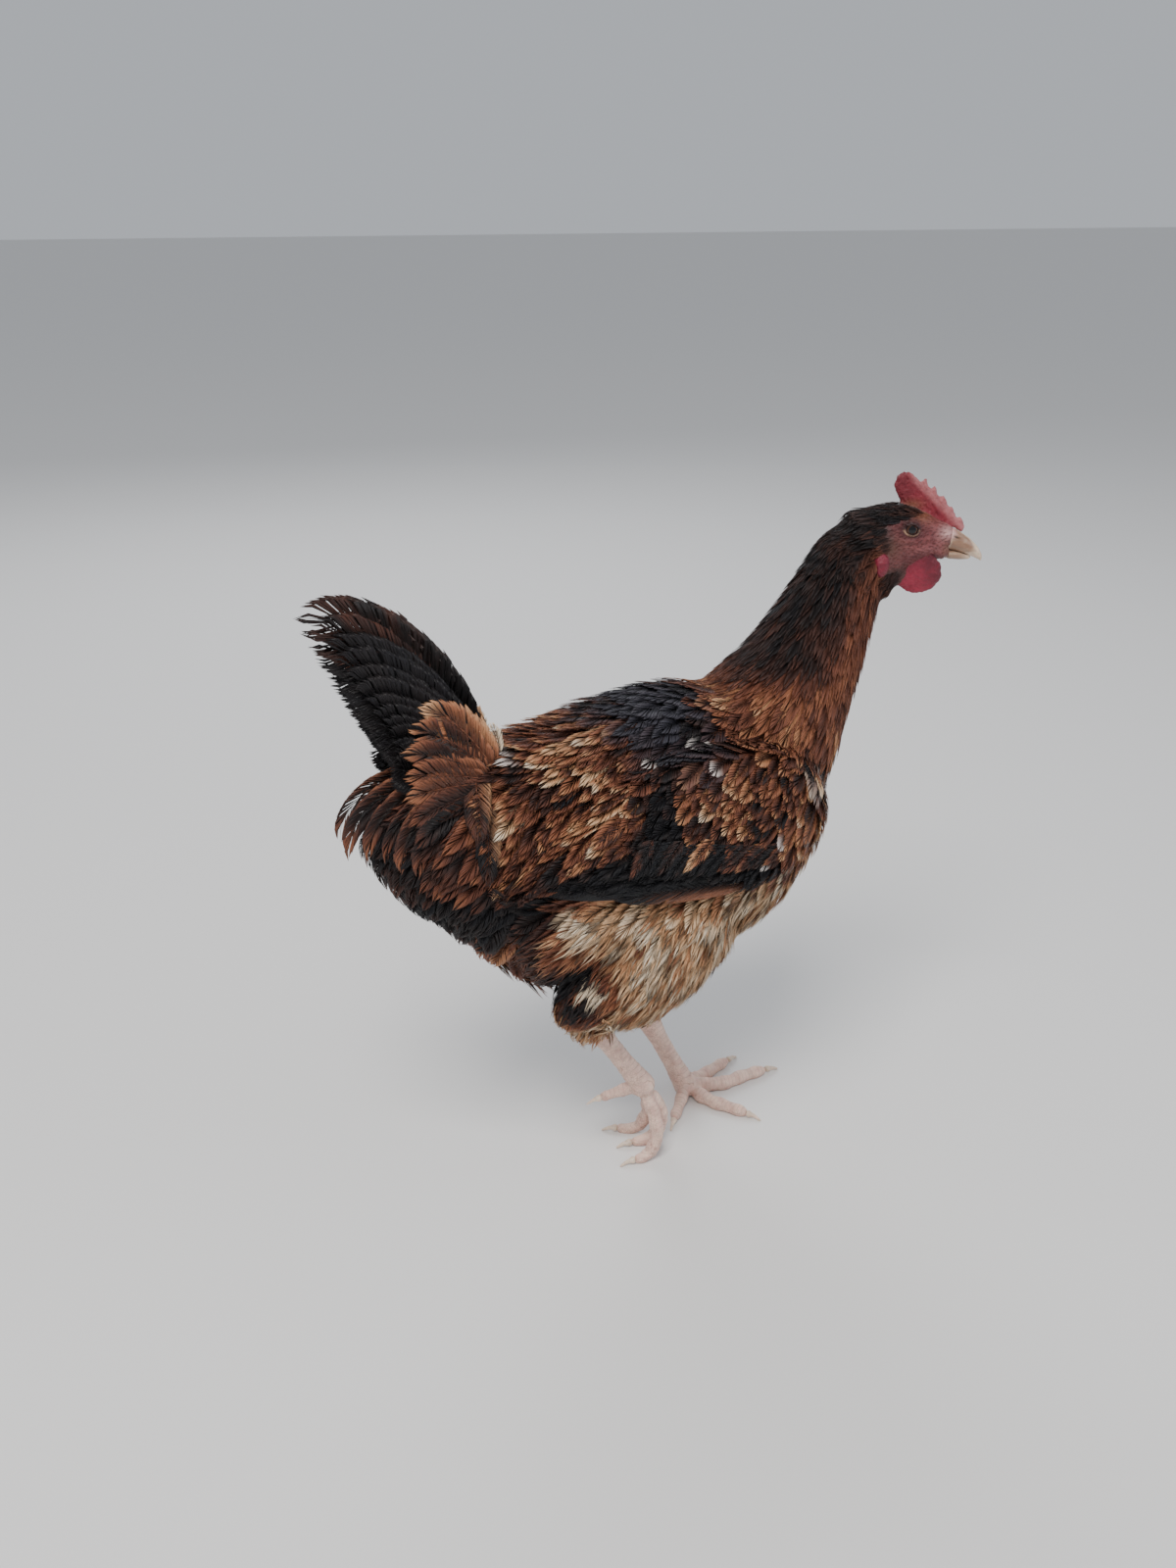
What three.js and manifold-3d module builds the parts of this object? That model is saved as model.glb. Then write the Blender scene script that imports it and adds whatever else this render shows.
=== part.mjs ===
// A young laying hen in life size, walking: the left foot is planted, the right one trails on its toe tips.
// Millimetres. +X is forward, +Y is the hen's left, +Z is up, and the floor is z = 0.
import * as THREE from "three";
import { mergeVertices } from "three/addons/utils/BufferGeometryUtils.js";
import Module from "manifold-3d";

const wasm = await Module();
wasm.setup();

// ---------------------------------------------------------------- driving dimensions
const GAP = 0.3; // clearance between neighbouring parts
const LEFT = 1;
const RIGHT = -1;
const SIDES = { left: LEFT, right: RIGHT };
const rad = THREE.MathUtils.degToRad;

const HEAD_PIVOT = new THREE.Vector3(92, -3, 0); // where the head turns on the neck
const HEAD_YAW = rad(-20); // the head looks a little to the hen's right
const SKIN_ROUNDNESS = 2.2; // superellipse exponent of the body's sections

const WING_LIFT = 7; // how far a folded wing stands proud of the flank
const EYE = { x: 26.4, z: 370.3, radius: 5, side: 10.9 };
const COMB_THICKNESS = 2.6;
const FEATHER_THICKNESS = 1;
const TAIL_PAIRS = 7;
const SHANK = { depth: 6.4, width: 5.1 };
const TOE_RADIUS = 4.9;
const TOE_TAPER = 0.26; // how much thinner a toe is at its tip
const TOE_FLAT = 0.75; // how much of a toe's pad the floor flattens
const CLAW_LENGTH = 11;
const CLAW_RADIUS = 2.1;
const CLAW_ROOT = 1.6; // how far a claw reaches back into its toe before it is fitted
const CLAW_TAPER = 0.72;
const CLAW_ARCH = 1.2;
const CLAW_DROOP = 1.4; // of a claw that is off the floor
const CLAW_FLAT = 0.1; // how much of a claw's point the floor blunts

// ---------------------------------------------------------------- materials
const finish = (colour, roughness) =>
  new THREE.MeshStandardMaterial({ color: colour, roughness, metalness: 0 });
const russet = finish(0x6e3a1c, 0.8);
const darkNeck = finish(0x3a2018, 0.8);
const fluff = finish(0xb79a74, 0.9);
const black = finish(0x14161a, 0.5);
const horn = finish(0xc9ab7c, 0.45);
const red = finish(0xa82336, 0.6);
const face = finish(0xa8483f, 0.7);
const scaly = finish(0xd9b5a4, 0.6);
const eyeball = finish(0x1b0f0a, 0.1);

// ---------------------------------------------------------------- solids
/** A manifold solid from a closed three.js geometry. */
function solidOf(geometry) {
  const bare = geometry.clone();
  bare.deleteAttribute("normal");
  bare.deleteAttribute("uv");
  const merged = mergeVertices(bare, 1e-4);
  return new wasm.Manifold(
    new wasm.Mesh({
      numProp: 3,
      vertProperties: new Float32Array(merged.attributes.position.array),
      triVerts: new Uint32Array(merged.index.array),
    }),
  );
}

/** A three.js geometry with the surface of a manifold solid's largest body. */
function geometryOf(solid) {
  const bodies = solid.decompose().sort((a, b) => b.volume() - a.volume());
  const mesh = bodies[0].getMesh();
  const geometry = new THREE.BufferGeometry();
  geometry.setAttribute("position", new THREE.BufferAttribute(mesh.vertProperties, 3));
  geometry.setIndex(new THREE.BufferAttribute(mesh.triVerts, 1));
  return geometry.toNonIndexed();
}

/** A solid moved by a matrix. */
const moved = (solid, matrix) => solid.transform(matrix.elements);

/** The part of a solid on the side of a plane that its normal points to. */
function trim(solid, normal, point, shift = 0) {
  const n = normal.clone().normalize();
  return solid.trimByPlane(n.toArray(), n.dot(point) + shift);
}

/** A closed skin over rings of points; the first and last ring are each a single point. */
function skinOver(rings) {
  const points = rings.flat();
  const sides = rings[1].length;
  const index = [];
  const start = (ring) => 1 + (ring - 1) * sides;
  const last = rings.length - 1;
  for (let i = 0; i < sides; i++) {
    const next = (i + 1) % sides;
    index.push(0, start(1) + next, start(1) + i);
    index.push(points.length - 1, start(last - 1) + i, start(last - 1) + next);
    for (let ring = 1; ring < last - 1; ring++) {
      const a = start(ring);
      const b = start(ring + 1);
      index.push(a + i, a + next, b + i, a + next, b + next, b + i);
    }
  }
  const geometry = new THREE.BufferGeometry().setFromPoints(points);
  geometry.setIndex(index);
  const solid = solidOf(geometry);
  if (solid.volume() > 0) return solid;
  geometry.setIndex(index.reverse());
  return solidOf(geometry);
}

/** Points round a superellipse whose half axes are the vectors up and side. */
function ringOf(centre, up, side, sides, roundness) {
  const power = 2 / roundness;
  const bulge = (v) => Math.sign(v) * Math.abs(v) ** power;
  return Array.from({ length: sides }, (_, i) => {
    const turn = (2 * Math.PI * (i + 0.5)) / sides;
    return centre
      .clone()
      .addScaledVector(up, bulge(Math.sin(turn)))
      .addScaledVector(side, bulge(Math.cos(turn)));
  });
}

/** Ring places along a loft, closer together at its two round ends. */
const easedSteps = (rings) =>
  Array.from({ length: rings + 1 }, (_, i) => (1 - Math.cos((Math.PI * i) / rings)) / 2);

/**
 * A body along the hen's middle plane, through stations of [top x, top z, bottom x, bottom z, half width].
 * The first and last station are points. drift(x) moves a section sideways.
 */
function bodyLoft(stations, { rings, sides, grow = 0, roundness = SKIN_ROUNDNESS, drift = () => 0 }) {
  const through = (pick) => new THREE.CatmullRomCurve3(stations.map(pick), false, "catmullrom", 0.5);
  const tops = through((s) => new THREE.Vector3(s[0], 0, s[1]));
  const bottoms = through((s) => new THREE.Vector3(s[2], 0, s[3]));
  const widths = through((s, i) => new THREE.Vector3(s[4], 0, i * 1000));
  const steps = easedSteps(rings);
  const centreAt = (u) => tops.getPoint(u).add(bottoms.getPoint(u)).multiplyScalar(0.5);
  const made = steps.map((u, i) => {
    const centre = centreAt(u);
    centre.y = drift(centre.x);
    if (i === 0 || i === rings) {
      const inward = centreAt(i === 0 ? steps[1] : steps[rings - 1]);
      inward.y = centre.y;
      const outward = centre.clone().sub(inward).setLength(grow + 1e-6);
      return [centre.add(outward)];
    }
    const up = tops.getPoint(u).sub(bottoms.getPoint(u)).multiplyScalar(0.5);
    up.setLength(up.length() + grow);
    const side = new THREE.Vector3(0, Math.max(widths.getPoint(u).x, 0.5) + grow, 0);
    return ringOf(centre, up, side, sides, roundness);
  });
  return skinOver(made);
}

/**
 * A limb along a path, through stations of [x, y, z, half depth, half width].
 * It has a blunt round end at each side.
 */
function limbLoft(stations, { rings, sides, grow = 0 }) {
  const path = new THREE.CatmullRomCurve3(stations.map((s) => new THREE.Vector3(s[0], s[1], s[2])));
  const sizes = new THREE.CatmullRomCurve3(
    stations.map((s, i) => new THREE.Vector3(s[3], s[4], i * 1000)),
    false,
    "catmullrom",
    0.5,
  );
  const steps = easedSteps(rings);
  const made = steps.map((u, i) => {
    const centre = path.getPoint(u);
    const ahead = path.getTangent(u);
    if (i === 0 || i === rings) return [centre.addScaledVector(ahead, i === 0 ? -grow : grow)];
    const size = sizes.getPoint(u);
    const endRound = Math.sqrt(1 - Math.max(0, Math.abs(2 * u - 1) * 1.06 - 0.06) ** 8);
    const side = new THREE.Vector3(0, 1, 0).addScaledVector(ahead, -ahead.y);
    const up = new THREE.Vector3().crossVectors(ahead, side);
    side.setLength(size.y * endRound + grow);
    up.setLength(size.x * endRound + grow);
    return ringOf(centre, up, side, sides, 2);
  });
  return skinOver(made);
}

/** A round lobe: a sphere stretched to half sizes, turned, and put at a place. */
function lobe(halfSizes, place, turn = [0, 0, 0], segments = [12, 8]) {
  const geometry = new THREE.SphereGeometry(1, ...segments);
  const matrix = new THREE.Matrix4().compose(
    new THREE.Vector3(...place),
    new THREE.Quaternion().setFromEuler(new THREE.Euler(...turn)),
    new THREE.Vector3(...halfSizes),
  );
  return solidOf(geometry.applyMatrix4(matrix));
}

/** A flat blade with the given outline in the X-Z plane, centred on y = 0. */
function blade(outline, thickness, bevel) {
  const shape = new THREE.Shape(outline);
  const geometry = new THREE.ExtrudeGeometry(shape, {
    depth: thickness - 2 * bevel,
    bevelEnabled: bevel > 0,
    bevelThickness: bevel,
    bevelSize: bevel,
    bevelOffset: -bevel,
    bevelSegments: 1,
    steps: 1,
  });
  geometry.translate(0, 0, bevel - thickness / 2);
  geometry.rotateX(Math.PI / 2); // the outline's second coordinate becomes height
  return solidOf(geometry);
}

// ---------------------------------------------------------------- trunk, neck and head shapes
const TRUNK = [
  [-196, 231, -196, 231, 0],
  [-189, 248, -188, 209, 16],
  [-171, 261, -172, 188, 27],
  [-146, 271, -152, 171, 36],
  [-118, 276, -131, 147, 45],
  [-92, 279, -108, 128, 52],
  [-62, 287, -75, 122, 57],
  [-27, 293, -30, 124, 59],
  [8, 290, 8, 131, 58],
  [40, 277, 38, 148, 51],
  [62, 254, 60, 170, 39],
  [73, 234, 72, 189, 25],
  [78, 212, 78, 212, 0],
];
const NECK = [
  [25, 240, 25, 240, 0],
  [-8, 282, 66, 208, 46],
  [20, 297, 80, 236, 41],
  [40, 320, 92, 266, 34],
  [56, 343, 99, 295, 29],
  [68, 361.5, 104.5, 318, 25.5],
  [80, 372.5, 109, 330, 22.5],
  [100, 376, 118, 336, 19.5],
  [112, 356, 112, 356, 0],
];
// The head's own frame starts at the pivot, and x runs forward along the beak.
const HEAD = [
  [-14, 350, -14, 350, 0],
  [-8, 373.5, 4, 331, 20.5],
  [3, 378, 13, 337, 19.5],
  [13, 381, 21, 341, 17.6],
  [22, 382, 28, 347, 15.5],
  [32, 379, 34, 350.5, 13.2],
  [42, 373.5, 41, 353, 10.4],
  [50, 369, 48, 354.5, 7.6],
  [60, 363, 56, 355, 5],
  [64, 358, 64, 358, 0],
];
const BEAK_UPPER = [
  [44, 363, 44, 363, 0],
  [49, 369.4, 46, 357, 7.4],
  [55, 367.2, 51.5, 355.6, 6.6],
  [61, 364, 57, 354.2, 5.5],
  [66.5, 359.6, 62.5, 352.8, 4.2],
  [70.2, 355, 67, 351, 2.8],
  [71.6, 351.6, 69.8, 349.6, 1.5],
  [71.4, 348.8, 71.4, 348.8, 0],
];
const BEAK_LOWER = [
  [42, 354.6, 42, 354.6, 0],
  [46, 358.6, 45, 351.6, 6.6],
  [53, 356.8, 52, 350.4, 5.4],
  [59, 355, 58, 349.9, 4],
  [63.5, 353.4, 63, 349.9, 2.4],
  [65.6, 351, 65.6, 351, 0],
];

const headMatrix = new THREE.Matrix4()
  .makeTranslation(HEAD_PIVOT)
  .multiply(new THREE.Matrix4().makeRotationZ(HEAD_YAW));
const headInverse = headMatrix.clone().invert();
const neckDrift = (x) => HEAD_PIVOT.y * THREE.MathUtils.smoothstep(x, 55, 85);

const trunkSkin = (grow) => bodyLoft(TRUNK, { rings: 22, sides: 22, grow });
const neckSkin = (grow) => bodyLoft(NECK, { rings: 13, sides: 18, grow, drift: neckDrift });
const headLoft = bodyLoft(HEAD, { rings: 15, sides: 18, roundness: 2.3 });
const beakUpperLoft = (grow) => bodyLoft(BEAK_UPPER, { rings: 10, sides: 12, grow, roundness: 2 });
const beakLowerLoft = bodyLoft(BEAK_LOWER, { rings: 7, sides: 10, roundness: 2 });
const wholeTrunk = trunkSkin(0);
const wholeBody = wholeTrunk.add(neckSkin(0));

// Planes that part the body: a point on each and the direction it faces.
const SHOULDER_CUT = { point: new THREE.Vector3(6, 0, 298), normal: new THREE.Vector3(0.703, 0, 0.711) };
const RUMP_CUT = { point: new THREE.Vector3(-124, 0, 230), normal: new THREE.Vector3(1, 0, 0.12) };
const NAPE_CUT = { point: new THREE.Vector3(-2, 0, 377), normal: new THREE.Vector3(0.922, 0, 0.386) };
const BEAK_CUT = { point: new THREE.Vector3(50.5, 0, 362), normal: new THREE.Vector3(0.97, 0, -0.25) };
const front = (solid, cut) => trim(solid, cut.normal, cut.point, GAP / 2);
const behind = (solid, cut) => trim(solid, cut.normal.clone().negate(), cut.point, GAP / 2);

// ---------------------------------------------------------------- the model
const hen = new THREE.Group();
const headGroup = new THREE.Group();
headGroup.position.copy(HEAD_PIVOT);
headGroup.rotation.z = HEAD_YAW;
hen.add(headGroup);

function addPart(name, solid, material, group = hen) {
  const mesh = new THREE.Mesh(geometryOf(solid), material);
  mesh.name = name;
  group.add(mesh);
  return mesh;
}

// ---------------------------------------------------------------- head
function buildHead() {
  const inHeadFrame = headLoft.add(moved(wholeBody, headInverse));
  let head = behind(front(inHeadFrame, NAPE_CUT), BEAK_CUT);
  for (const [name, side] of Object.entries(SIDES)) {
    const place = [EYE.x, side * EYE.side, EYE.z];
    const eye = new THREE.Mesh(new THREE.SphereGeometry(EYE.radius, 12, 8), eyeball);
    eye.position.set(...place);
    eye.name = `eye_${name}`;
    headGroup.add(eye);
    const socket = EYE.radius + GAP;
    head = head.subtract(lobe([socket, socket, socket], place, [0, 0, 0], [12, 8]));
  }
  addPart("head", head, face, headGroup);
  addPart("beak_upper", front(beakUpperLoft(0), BEAK_CUT), horn, headGroup);
  const lower = front(beakLowerLoft, BEAK_CUT).subtract(beakUpperLoft(GAP));
  addPart("beak_lower", lower, horn, headGroup);
}

/** The single comb: a round lobe at the back, then points that shrink towards the beak. */
function combOutline() {
  const points = 5;
  const crest = [new THREE.Vector2(24, 381), new THREE.Vector2(19.6, 388.5)];
  for (let i = 0; i <= 4; i++) {
    const turn = rad(190 - 42 * i);
    crest.push(new THREE.Vector2(25 + 6 * Math.cos(turn), 393.4 + 5.6 * Math.sin(turn)));
  }
  for (let i = 0; i < points; i++) {
    const along = (i + 0.5) / points;
    const x = 31.5 + 27 * along;
    const z = 395 - 25 * along ** 1.25;
    const tooth = 3.4 - 2 * along;
    crest.push(new THREE.Vector2(x - 0.6, z - tooth * 0.35));
    crest.push(new THREE.Vector2(x + 1.6, z + tooth * 0.65));
  }
  crest.push(new THREE.Vector2(59.8, 368.6), new THREE.Vector2(58.6, 365.5), new THREE.Vector2(44, 368));
  return crest;
}

function buildHeadgear() {
  const room = bodyLoft(HEAD, { rings: 15, sides: 18, grow: GAP, roundness: 2.3 })
    .add(beakUpperLoft(GAP))
    .add(beakLowerLoft)
    .add(moved(wholeBody, headInverse));
  addPart("comb", blade(combOutline(), COMB_THICKNESS, 0.6).subtract(room), red, headGroup);
  for (const [name, side] of Object.entries(SIDES)) {
    const wattle = lobe([13.4, 1.9, 12.6], [35.2, side * 6.2, 343.6], [side * rad(-7), rad(-16), side * rad(4)]);
    addPart(`wattle_${name}`, wattle.subtract(room), red, headGroup);
    const earlobe = lobe([4.8, 3, 7.2], [9, side * 20.6, 351.5], [side * rad(-6), rad(14), side * rad(9)], [10, 6]);
    addPart(`earlobe_${name}`, earlobe.subtract(room), red, headGroup);
  }
}

// ---------------------------------------------------------------- neck, trunk and wings
function buildBody() {
  const withHead = wholeBody.add(moved(headLoft, headMatrix));
  const neckInHeadFrame = moved(front(withHead, SHOULDER_CUT), headInverse);
  addPart("neck", moved(behind(neckInHeadFrame, NAPE_CUT), headMatrix), darkNeck);
  const trunk = front(behind(wholeBody, SHOULDER_CUT), RUMP_CUT);
  const rump = behind(wholeTrunk, RUMP_CUT);
  addPart("rump", rump, russet);
  return trunk;
}

// A folded wing seen from the side: shoulder, upper edge, tip and lower edge.
const WING = [
  [54, 224, 54, 224, 0],
  [48, 248, 46, 206, 22],
  [28, 263, 26, 195, 28],
  [-6, 270, -4, 189, 30],
  [-42, 268, -42, 190, 30],
  [-76, 252, -78, 194, 28],
  [-106, 228, -109, 199, 24],
  [-126, 208, -126, 208, 0],
];
const WING_SIDE = 47; // the lens of the wing is centred this far from the middle plane

function buildWings() {
  const shell = trunkSkin(WING_LIFT).subtract(trunkSkin(GAP)).subtract(neckSkin(GAP));
  const lens = bodyLoft(WING, { rings: 13, sides: 14, roundness: 2.6 });
  for (const [name, side] of Object.entries(SIDES)) {
    const placed = moved(lens, new THREE.Matrix4().makeTranslation(0, side * WING_SIDE, 0));
    addPart(`wing_${name}`, placed.intersect(shell), black);
  }
}

// ---------------------------------------------------------------- tail
/** Outline of a tail feather: it starts at a base, heads one way and bends back towards its tip. */
function featherOutline({ base, heading, bend, length, width }) {
  const steps = 7;
  const front = [];
  const back = [];
  const at = new THREE.Vector2(...base);
  for (let i = 0; i <= steps; i++) {
    const along = i / steps;
    const angle = rad(heading + bend * along ** 2.2);
    const half = (width / 2) * Math.min(1, 0.45 + 1.6 * along) * Math.sqrt(1 - along ** 6 * 0.9);
    const across = new THREE.Vector2(Math.sin(angle), -Math.cos(angle)).multiplyScalar(half);
    front.push(at.clone().add(across));
    back.push(at.clone().sub(across));
    at.add(new THREE.Vector2(Math.cos(angle), Math.sin(angle)).multiplyScalar(length / steps));
  }
  return [...front, ...back.reverse()];
}

/** A tail feather as a thin upright blade, beside the middle plane and splayed outwards. */
function tailFeather(side, { offset, splay, ...form }) {
  const flat = blade(featherOutline(form), FEATHER_THICKNESS, 0);
  const hinge = new THREE.Vector3(form.base[0], 0, form.base[1]);
  const matrix = new THREE.Matrix4()
    .makeTranslation(hinge.x, side * offset, hinge.z)
    .multiply(new THREE.Matrix4().makeRotationZ(rad(-side * splay)))
    .multiply(new THREE.Matrix4().makeTranslation(-hinge.x, 0, -hinge.z));
  return moved(flat, matrix);
}

/** The tail's pairs from the top one (0) down: lower feathers are shorter, straighter and further out. */
function tailForm(pair) {
  const down = pair / (TAIL_PAIRS - 1);
  const lerp = THREE.MathUtils.lerp;
  return {
    base: [lerp(-130, -142, down), lerp(264, 254, down)],
    heading: lerp(116.5, 146, down),
    bend: lerp(66, 14, down),
    length: 46 + 86 * (1 - down) ** 1.5,
    width: lerp(28, 22, down),
    offset: 0.9 + 1.9 * pair,
    splay: 1.3 * pair,
  };
}
const COVERT_FORM = {
  base: [-124, 262],
  heading: 124,
  bend: 20,
  length: 62,
  width: 24,
  offset: 15.4,
  splay: 10,
};

function buildTail() {
  const room = trunkSkin(GAP);
  for (const [name, side] of Object.entries(SIDES)) {
    for (let pair = 0; pair < TAIL_PAIRS; pair++) {
      const feather = tailFeather(side, tailForm(pair)).subtract(room);
      addPart(`tail_feather_${name}_${pair + 1}`, feather, black);
    }
    addPart(`tail_covert_${name}`, tailFeather(side, COVERT_FORM).subtract(room), russet);
  }
}

// ---------------------------------------------------------------- legs
// Joints of each leg. A point of a toe that has no height lies on the floor.
const LEGS = {
  left: {
    thigh: [
      [40, 28, 186, 18, 16],
      [19, 32, 164, 31, 24],
      [0, 31, 131, 24, 24],
      [-11, 26, 101, 15, 16],
      [-17, 23, 80, 12, 10],
      [-21, 22, 70, 8, 7.5],
    ],
    hock: [-22, 22, 71],
    ball: [10, 22, 6],
    toes: [
      { name: "back", radius: 0.85, path: [[8, 19, 9], [-3, 7], [-11, -3]] },
      { name: "inner", radius: 0.95, path: [[11, 20, 6], [19, 4], [28, -7], [35, -16]] },
      { name: "middle", radius: 1, path: [[12, 22, 7], [34, 18], [54, 21], [70, 22]] },
      { name: "outer", radius: 0.95, path: [[12, 25, 6], [30, 33], [52, 42]] },
    ],
  },
  right: {
    thigh: [
      [-16, -28, 196, 22, 18],
      [-27, -34, 172, 40, 26],
      [-46, -35, 147, 39, 27],
      [-66, -31, 128, 31, 23],
      [-83, -25, 115, 20, 16],
      [-83, -21, 102, 9.5, 9],
    ],
    hock: [-77, -21, 104],
    ball: [-40, -18, 46],
    toes: [
      { name: "back", radius: 0.8, path: [[-43, -17, 46], [-56, -15, 44], [-66, -13, 41]] },
      { name: "inner", radius: 0.95, path: [[-39, -15, 42], [-31, -8, 22], [-36, -2], [-48, 4]] },
      { name: "middle", radius: 1, path: [[-37, -18, 42], [-27, -18, 22], [-32, -15], [-46, -13]] },
      { name: "outer", radius: 0.95, path: [[-40, -21, 42], [-35, -29, 21], [-41, -29], [-51, -29]] },
    ],
  },
};

/** Shank from hock to ball, with knuckles at both ends. */
function shankLoft(leg, grow = 0) {
  const hock = new THREE.Vector3(...leg.hock);
  const ball = new THREE.Vector3(...leg.ball);
  const size = [
    [-0.08, 0.6, 0.7],
    [0, 1.35, 1.4],
    [0.2, 1.02, 1.05],
    [0.5, 0.86, 0.92],
    [0.82, 1, 1.05],
    [1, 1.25, 1.55],
    [1.08, 0.9, 1.1],
  ];
  const stations = size.map(([along, depth, width]) => {
    const p = hock.clone().lerp(ball, along);
    return [p.x, p.y, p.z, SHANK.depth * depth, SHANK.width * width];
  });
  return limbLoft(stations, { rings: 11, sides: 10, grow });
}

/** Centre and radius of a toe at each point of its path: it tapers, and its pads press flat on the floor. */
function toeStations({ path, radius }) {
  return path.map(([x, y, z], i) => {
    const r = TOE_RADIUS * radius * (1 - (TOE_TAPER * i) / (path.length - 1));
    return [x, y, z ?? r - TOE_FLAT, r, r];
  });
}

const toeLoft = (toe, grow = 0) => limbLoft(toeStations(toe), { rings: 7, sides: 8, grow });

const onFloor = (solid) => trim(solid, new THREE.Vector3(0, 0, 1), new THREE.Vector3(0, 0, 0));

/** A curved claw that carries on from the end of a toe. */
function clawLoft(toe) {
  const [before, end] = toeStations(toe).slice(-2).map(([x, y, z]) => new THREE.Vector3(x, y, z));
  const ahead = end.clone().sub(before);
  const thick = CLAW_RADIUS * toe.radius;
  const lies = end.z < TOE_RADIUS;
  if (lies) ahead.z = 0;
  ahead.normalize();
  const droop = lies ? end.z + CLAW_FLAT : CLAW_DROOP;
  const stations = [0, 0.35, 0.7, 1].map((along) => {
    const p = end.clone().addScaledVector(ahead, CLAW_LENGTH * along - CLAW_ROOT);
    const lift = CLAW_ARCH * Math.sin(Math.PI * along) - droop * along;
    const size = thick * (1 - CLAW_TAPER * along);
    return [p.x, p.y, p.z + lift, size, size];
  });
  return limbLoft(stations, { rings: 4, sides: 6 });
}

function buildLegs(trunk) {
  let body = trunk;
  for (const [name, leg] of Object.entries(LEGS)) {
    const shank = shankLoft(leg);
    const thigh = limbLoft(leg.thigh, { rings: 12, sides: 14 });
    body = body.subtract(limbLoft(leg.thigh, { rings: 12, sides: 14, grow: GAP }));
    addPart(`thigh_${name}`, thigh.subtract(shankLoft(leg, GAP)), fluff);
    addPart(`shank_${name}`, onFloor(shank), scaly);
    let taken = shankLoft(leg, GAP);
    for (const toe of leg.toes) {
      const claw = onFloor(clawLoft(toe));
      const toeSolid = onFloor(toeLoft(toe)).subtract(taken);
      taken = taken.add(toeLoft(toe, GAP));
      addPart(`toe_${toe.name}_${name}`, toeSolid, scaly);
      addPart(`claw_${toe.name}_${name}`, claw.subtract(toeLoft(toe, GAP)), horn);
    }
  }
  addPart("trunk", body, russet);
}

buildHead();
buildHeadgear();
buildLegs(buildBody());
buildWings();
buildTail();

// ---------------------------------------------------------------- origin: bottom centre of the bounding box
const part = new THREE.Group();
part.add(hen);
const box = new THREE.Box3().setFromObject(part, true);
const middle = box.getCenter(new THREE.Vector3());
hen.position.set(-middle.x, -middle.y, -box.min.z);

export default part;
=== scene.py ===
"""Looks for a life-size walking hen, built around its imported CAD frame.

One skin replaces the flesh. Feathers are solid meshes over it: every feather is a row of barb tufts
on both sides of a shaft that follows the skin. Lengths in the tables are millimetres and the scene is
in metres. Places in the tables are forward, left and up of the floor under the hips; on the head they
start from the floor under the point where it turns. Every use of noise has a seed of its own.
"""

import math
from typing import NamedTuple

import bpy
import numpy as np
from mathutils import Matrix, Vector
from mathutils.bvhtree import BVHTree
from bpy.props import FloatProperty, FloatVectorProperty, PointerProperty


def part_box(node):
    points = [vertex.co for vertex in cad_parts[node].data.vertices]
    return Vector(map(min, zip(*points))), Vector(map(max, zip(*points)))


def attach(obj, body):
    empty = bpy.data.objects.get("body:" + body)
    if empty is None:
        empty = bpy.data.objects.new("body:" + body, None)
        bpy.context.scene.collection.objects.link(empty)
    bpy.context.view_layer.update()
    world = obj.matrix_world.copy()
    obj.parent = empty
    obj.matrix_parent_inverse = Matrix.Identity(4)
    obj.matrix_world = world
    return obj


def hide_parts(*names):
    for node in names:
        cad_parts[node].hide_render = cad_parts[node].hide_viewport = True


bl_info = {
    "name": "Walking hen",
    "version": (1, 0, 0),
    "blender": (4, 5, 0),
    "location": "View3D > Sidebar > Hen",
    "description": "Skin, feathers, horn and eyes of a life-size hen around its CAD frame",
    "category": "Add Mesh",
}

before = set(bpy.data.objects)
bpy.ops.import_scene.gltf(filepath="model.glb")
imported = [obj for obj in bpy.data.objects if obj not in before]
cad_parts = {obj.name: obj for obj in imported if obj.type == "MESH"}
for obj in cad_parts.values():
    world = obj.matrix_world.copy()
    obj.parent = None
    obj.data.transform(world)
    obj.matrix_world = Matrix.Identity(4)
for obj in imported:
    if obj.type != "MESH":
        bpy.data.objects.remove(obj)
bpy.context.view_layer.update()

MM = 0.001
UP = np.array((0.0, 0.0, 1.0))
SIDES = {"left": 1.0, "right": -1.0}


# ---------------------------------------------------------------- places taken from the frame
def unit(vectors):
    """Vectors made one long."""
    size = np.linalg.norm(vectors, axis=-1, keepdims=True)
    return vectors / np.maximum(size, 1e-12)


def middle_of(node):
    """Centre of a CAD node's box."""
    low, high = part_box(node)
    return np.array((low + high) / 2)


EYE_CENTRES = {side: middle_of(f"eye_{side}") for side in SIDES}
EYE_FORWARD = 26.4 * MM  # of the eyes, from the point where the head turns
EYE_RADIUS = (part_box("eye_left")[1].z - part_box("eye_left")[0].z) / 2
HEAD_SIDE = unit(EYE_CENTRES["left"] - EYE_CENTRES["right"])
HEAD_FORWARD = np.cross(HEAD_SIDE, UP)
HEAD_ORIGIN = (EYE_CENTRES["left"] + EYE_CENTRES["right"]) / 2 - HEAD_FORWARD * EYE_FORWARD
HEAD_ORIGIN[2] = 0.0
WING_BEHIND_HIPS = 36 * MM
BODY_ORIGIN = np.array((middle_of("wing_right")[0] + WING_BEHIND_HIPS, 0.0, 0.0))


def in_head(points):
    """Forward, left and up of the head, in millimetres."""
    d = points - HEAD_ORIGIN
    return np.stack([d @ HEAD_FORWARD, d @ HEAD_SIDE, d[..., 2]], -1) / MM


def in_body(points):
    """Forward, left and up from the floor under the hips, in millimetres."""
    return (points - BODY_ORIGIN) / MM


def from_body(place):
    """A point given forward, left and up of the hips in millimetres."""
    return BODY_ORIGIN + MM * np.asarray(place, float)


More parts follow.
